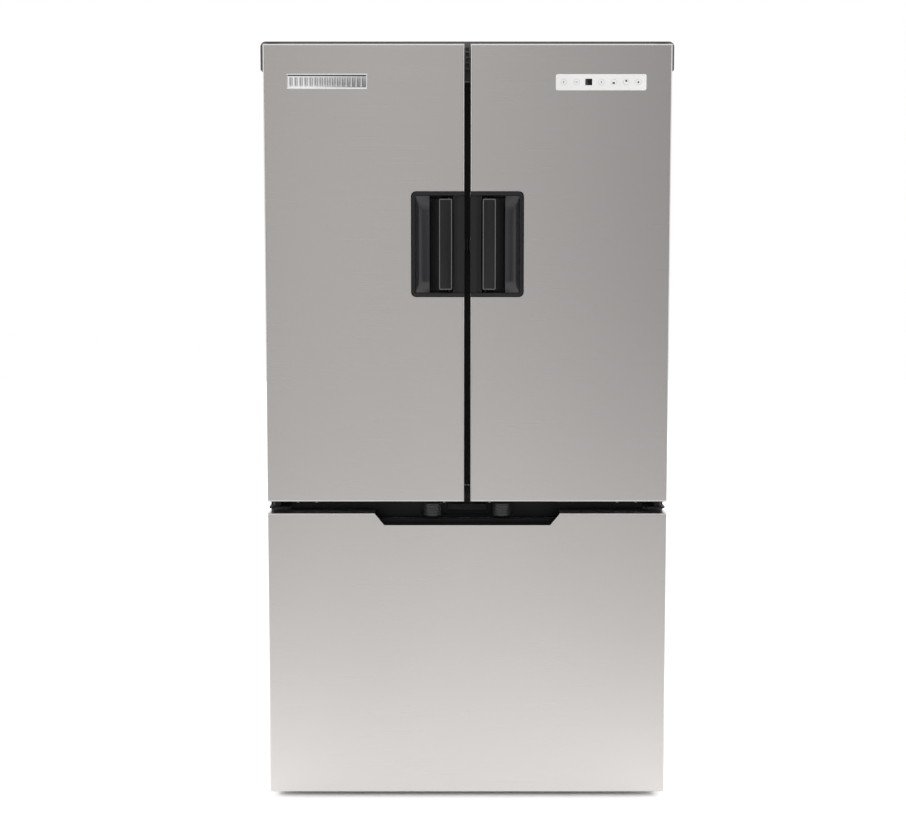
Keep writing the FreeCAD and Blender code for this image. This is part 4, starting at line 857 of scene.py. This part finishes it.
FOOT_X, FOOT_Y = 415, -245
FOOT = [(16, 0), (19, 0.4), (20, 1.6), (20, 5.6), (19, 7.6), (16, 9), (9, 9.6), (6.5, 10.4), (5, 11.4),
        (5, 56.4), (4.4, 57)]
ROLLER_AXLE = (300, 26)                   # back and up
TREAD = [(4.4, -12), (9, -12), (10, -10), (19, -10), (20.5, -12), (24.6, -12), (26, -10.6), (26, -4),
         (24.8, -3.2), (24.8, 3.2), (26, 4), (26, 10.6), (24.6, 12), (20.5, 12), (19, 10), (10, 10),
         (9, 12), (4.4, 12)]


def add_floor_gear():
    """Turned feet with a hexagon to hold a spanner, and treaded rollers."""
    feet = Shape()
    wheels = Shape()
    for across in (-FOOT_X, FOOT_X):
        feet.join(lathe("XY", (across, FOOT_Y), FOOT, 36))
        feet.join(prism("XY", hexagon((across, FOOT_Y), 9), 10.6, 15.4))
        rings = [[(across + offset, y, z) for y, z in circle(ROLLER_AXLE, radius, 40)]
                 for radius, offset in TREAD]
        wheels.join(loft(rings, around=True))
    piece("feet_turned", feet, "cabinet", "foot_plastic", "levelling_feet")
    piece("roller_wheels", wheels, "rollers", "foot_plastic", "rear_rollers")


BACK_COLUMNS = ((-405, -20), (20, 405))               # left and right of the pressed panels
BACK_LEVELS = ((345, 760), (800, 1215), (1255, 1660))  # bottom and top of them


def add_back():
    """Back sheet with two columns of pressed panels and three rows of rivets."""
    sheet = slab("XZ", *from_front("cabinet_back"), (349.2, 349.5), 1, 0.1)
    bead = [(0, 349.45), (1.2, 349.8), (2.4, 349.95), (6, 349.95), (7.2, 349.8), (8.4, 349.45)]
    for left, right in BACK_COLUMNS:
        for base, top in BACK_LEVELS:
            sheet.join(bead_ring("XZ", (left, base), (right, top), 26, bead))
            sheet.join(bead_ring("XZ", *inward((left, base), (right, top), 40), 18, bead))
    rivet = [(4.6, 349.45), (4.5, 349.65), (3.6, 349.85), (1.8, 349.96)]
    for across in (-436, 0, 436):
        for level in range(330, 1690, 192):
            sheet.join(lathe("XZ", (across, level), rivet, 20))
    piece("back_pressing", sheet, "cabinet", "back_sheet", "cabinet_back")


LOUVRE_LEFTS = (-360, -180, 30, 210)      # left ends of the slots of a row
LOUVRE_WIDTH = 150
LOUVRE_ROWS = 7
LOUVRE_START, LOUVRE_PITCH = 110, 22


def add_louvre_blades():
    """Slanted blades behind the slots of the machine cover."""
    blades = Shape()
    for left in LOUVRE_LEFTS:
        for row in range(LOUVRE_ROWS):
            low = LOUVRE_START + LOUVRE_PITCH * row
            blade = [(349.1, low + 6.2), (343.6, low - 1.4), (342.9, low - 0.8), (348.4, low + 6.8)]
            blades.join(prism("YZ", blade, left - 2, left + LOUVRE_WIDTH + 2))
    piece("louvre_blades", blades, "cabinet", "back_sheet")


add_handles()
add_badge()
add_panel()
add_door_insides()
add_drawer()
add_slides()
add_shelves()
add_fresh_lining()
add_freezer_lining()
add_crispers()
add_air_and_light()
add_fan_guard()
add_catches()
add_floor_gear()
add_back()
add_louvre_blades()

# ---------------------------------------------------------------------------------------------------
# Camera and studio
# ---------------------------------------------------------------------------------------------------

CAMERA_DISTANCE = 3.346      # from the plane of the steel fronts
CAMERA_HEIGHT = 1.181
CAMERA_SIDE = -0.032
CAMERA_PITCH = 85            # degrees, 90 is level
CAMERA_LENS = 59.6           # millimetres on a 36 mm frame

ROOM_LIGHT = 1.22            # brightness of the studio's ceiling, sides and back
FRONT_LIGHT = 0.17           # its dim front wall, which the doors reflect
FRONT_REACH = (-0.62, -0.90)  # how far round the room gives way to it
STRIP_LIGHT = 0.86           # the soft upright strip of light in the middle of that wall
STRIP_PLACE = -0.045
STRIP_WIDTH = 0.10
FLOOR_HALF = 14.0
FLOOR_START = -0.45          # where the table in front of the object begins to darken in reflections
FLOOR_GLOW = 0.40            # the lit table under the object
FLOOR_FAR = 0.55             # how bright the table still is far in front
FLOOR_FADE = 0.9             # how fast it gets there, per metre
PATH_PLACE = -0.1            # the lighter path on it: its middle and half its width
PATH_WIDTH = 1.0
PATH_SHARE = 0.38
SHADOW_SIDES = (0.44, 0.42)    # painted shadow under the object: where the table's glow is cut off, each side of the middle, at its front and at its back
SHADOW_FRONT = (-0.338, -0.312)  # at its front
SHADOW_BACK = (0.34, 0.32)     # and at its back


def make_camera():
    camera = bpy.data.objects.new("camera", bpy.data.cameras.new("camera"))
    bpy.context.scene.collection.objects.link(camera)
    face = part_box("left_door_skin")[0].y
    camera.location = (CAMERA_SIDE, face - CAMERA_DISTANCE, CAMERA_HEIGHT)
    camera.rotation_euler = (math.radians(CAMERA_PITCH), 0, 0)
    camera.data.lens = CAMERA_LENS
    camera.data.sensor_width = 36
    bpy.context.scene.camera = camera


class Sums:
    """Arithmetic on shader values."""

    def __init__(self, tree):
        self.tree = tree

    def value(self, target, source):
        if isinstance(source, (int, float)):
            target.default_value = source
        else:
            self.tree.links.new(source, target)

    def work(self, operation, first, second=0.0):
        step = self.tree.nodes.new("ShaderNodeMath")
        step.operation = operation
        self.value(step.inputs[0], first)
        self.value(step.inputs[1], second)
        return step.outputs[0]

    def ramp(self, source, start, end, low=0.0, high=1.0):
        """Ease from low to high while the source goes from start to end."""
        step = self.tree.nodes.new("ShaderNodeMapRange")
        step.interpolation_type = "SMOOTHSTEP"
        for label, value in (("From Min", start), ("From Max", end), ("To Min", low), ("To Max", high)):
            self.value(step.inputs[label], value)
        self.value(step.inputs["Value"], source)
        return step.outputs["Result"]

    def bell(self, source, middle, width):
        """A soft peak of height one."""
        offset = self.work("DIVIDE", self.work("SUBTRACT", source, middle), width)
        return self.work("EXPONENT", self.work("MULTIPLY", self.work("MULTIPLY", offset, offset), -0.5))


def make_world():
    """White to the camera; to the object, a bright studio with a dim front wall and one soft strip in it."""
    world = bpy.data.worlds.new("studio")
    bpy.context.scene.world = world
    world.use_nodes = True
    tree = world.node_tree
    tree.nodes.clear()
    sums = Sums(tree)
    coords = tree.nodes.new("ShaderNodeTexCoord")
    split = tree.nodes.new("ShaderNodeSeparateXYZ")
    tree.links.new(coords.outputs["Generated"], split.inputs["Vector"])
    strip = sums.work("MULTIPLY", sums.bell(split.outputs["X"], STRIP_PLACE, STRIP_WIDTH), STRIP_LIGHT)
    front = sums.work("ADD", strip, FRONT_LIGHT)
    facing = sums.ramp(split.outputs["Y"], *FRONT_REACH)
    shaded = sums.ramp(facing, 0.0, 1.0, ROOM_LIGHT, front)
    room = tree.nodes.new("ShaderNodeBackground")
    room.inputs["Color"].default_value = (1.0, 0.985, 0.975, 1)
    tree.links.new(shaded, room.inputs["Strength"])
    white = tree.nodes.new("ShaderNodeBackground")
    white.inputs["Color"].default_value = (1, 1, 1, 1)
    path = tree.nodes.new("ShaderNodeLightPath")
    mix = tree.nodes.new("ShaderNodeMixShader")
    tree.links.new(path.outputs["Is Camera Ray"], mix.inputs["Fac"])
    tree.links.new(room.outputs["Background"], mix.inputs[1])
    tree.links.new(white.outputs["Background"], mix.inputs[2])
    output = tree.nodes.new("ShaderNodeOutputWorld")
    tree.links.new(mix.outputs["Shader"], output.inputs["Surface"])


def make_floor():
    """A pale glowing table. What the object mirrors of it darkens far in front; the eye sees it even, but for
    a painted shadow where its glow is cut off under the object.
    """
    sheet = bpy.data.meshes.new("floor")
    sheet.from_pydata([(across * FLOOR_HALF, back * FLOOR_HALF, 0)
                       for across, back in ((-1, -1), (1, -1), (1, 1), (-1, 1))], [], [(0, 1, 2, 3)])
    floor = bpy.data.objects.new("floor", sheet)
    bpy.context.scene.collection.objects.link(floor)
    finish = Finish("floor_pale", (0.93, 0.93, 0.93), 0.85)
    finish.vary_color(finish.noise(3), 0.995, 1.005)
    sums = Sums(finish.tree)
    split = finish.add("ShaderNodeSeparateXYZ")
    finish.wire(finish.coords.outputs["Object"], split.inputs["Vector"])
    ahead = sums.work("MAXIMUM", sums.work("SUBTRACT", FLOOR_START, split.outputs["Y"]), 0.0)
    near_share = sums.work("EXPONENT", sums.work("MULTIPLY", ahead, -FLOOR_FADE))
    level = sums.work("ADD", sums.work("MULTIPLY", near_share, 1 - FLOOR_FAR), FLOOR_FAR)
    beside = sums.work("SUBTRACT", 1.0, sums.bell(split.outputs["X"], PATH_PLACE, PATH_WIDTH))
    far_share = sums.work("SUBTRACT", 1.0, near_share)
    lost = sums.work("MULTIPLY", sums.work("MULTIPLY", beside, far_share), PATH_SHARE)
    level = sums.work("MULTIPLY", level, sums.work("SUBTRACT", 1.0, lost))
    seen = finish.tree.nodes.new("ShaderNodeLightPath")
    level = sums.work("MAXIMUM", level, seen.outputs["Is Camera Ray"])
    shade = finish.tree.nodes.new("ShaderNodeMix")
    shade.data_type = "RGBA"
    shade.blend_type = "MULTIPLY"
    shade.inputs["Factor"].default_value = 1.0
    pale = finish.shader.inputs["Base Color"].links[0].from_socket
    finish.wire(pale, shade.inputs["A"])
    finish.wire(level, shade.inputs["B"])
    finish.wire(shade.outputs["Result"], finish.shader.inputs["Base Color"])
    # Painted shadow: the glow is switched off under the object's footprint, leaving a dark line below the
    # drawer.
    side = sums.ramp(sums.work("ABSOLUTE", split.outputs["X"]), *SHADOW_SIDES)
    painted_shadow = sums.work("MULTIPLY", sums.ramp(split.outputs["Y"], *SHADOW_FRONT), side)
    painted_shadow = sums.work("MULTIPLY", painted_shadow, sums.ramp(split.outputs["Y"], *SHADOW_BACK))
    lit = sums.work("MULTIPLY", level, sums.work("SUBTRACT", 1.0, painted_shadow))
    finish.wire(sums.work("MULTIPLY", lit, FLOOR_GLOW), finish.shader.inputs["Emission Strength"])
    finish.set(Emission_Color=(1, 1, 1, 1))
    sheet.materials.append(finish.material)


make_camera()
make_world()
make_floor()

scene_view = bpy.context.scene.view_settings
scene_view.view_transform = "Standard"
scene_view.look = "None"
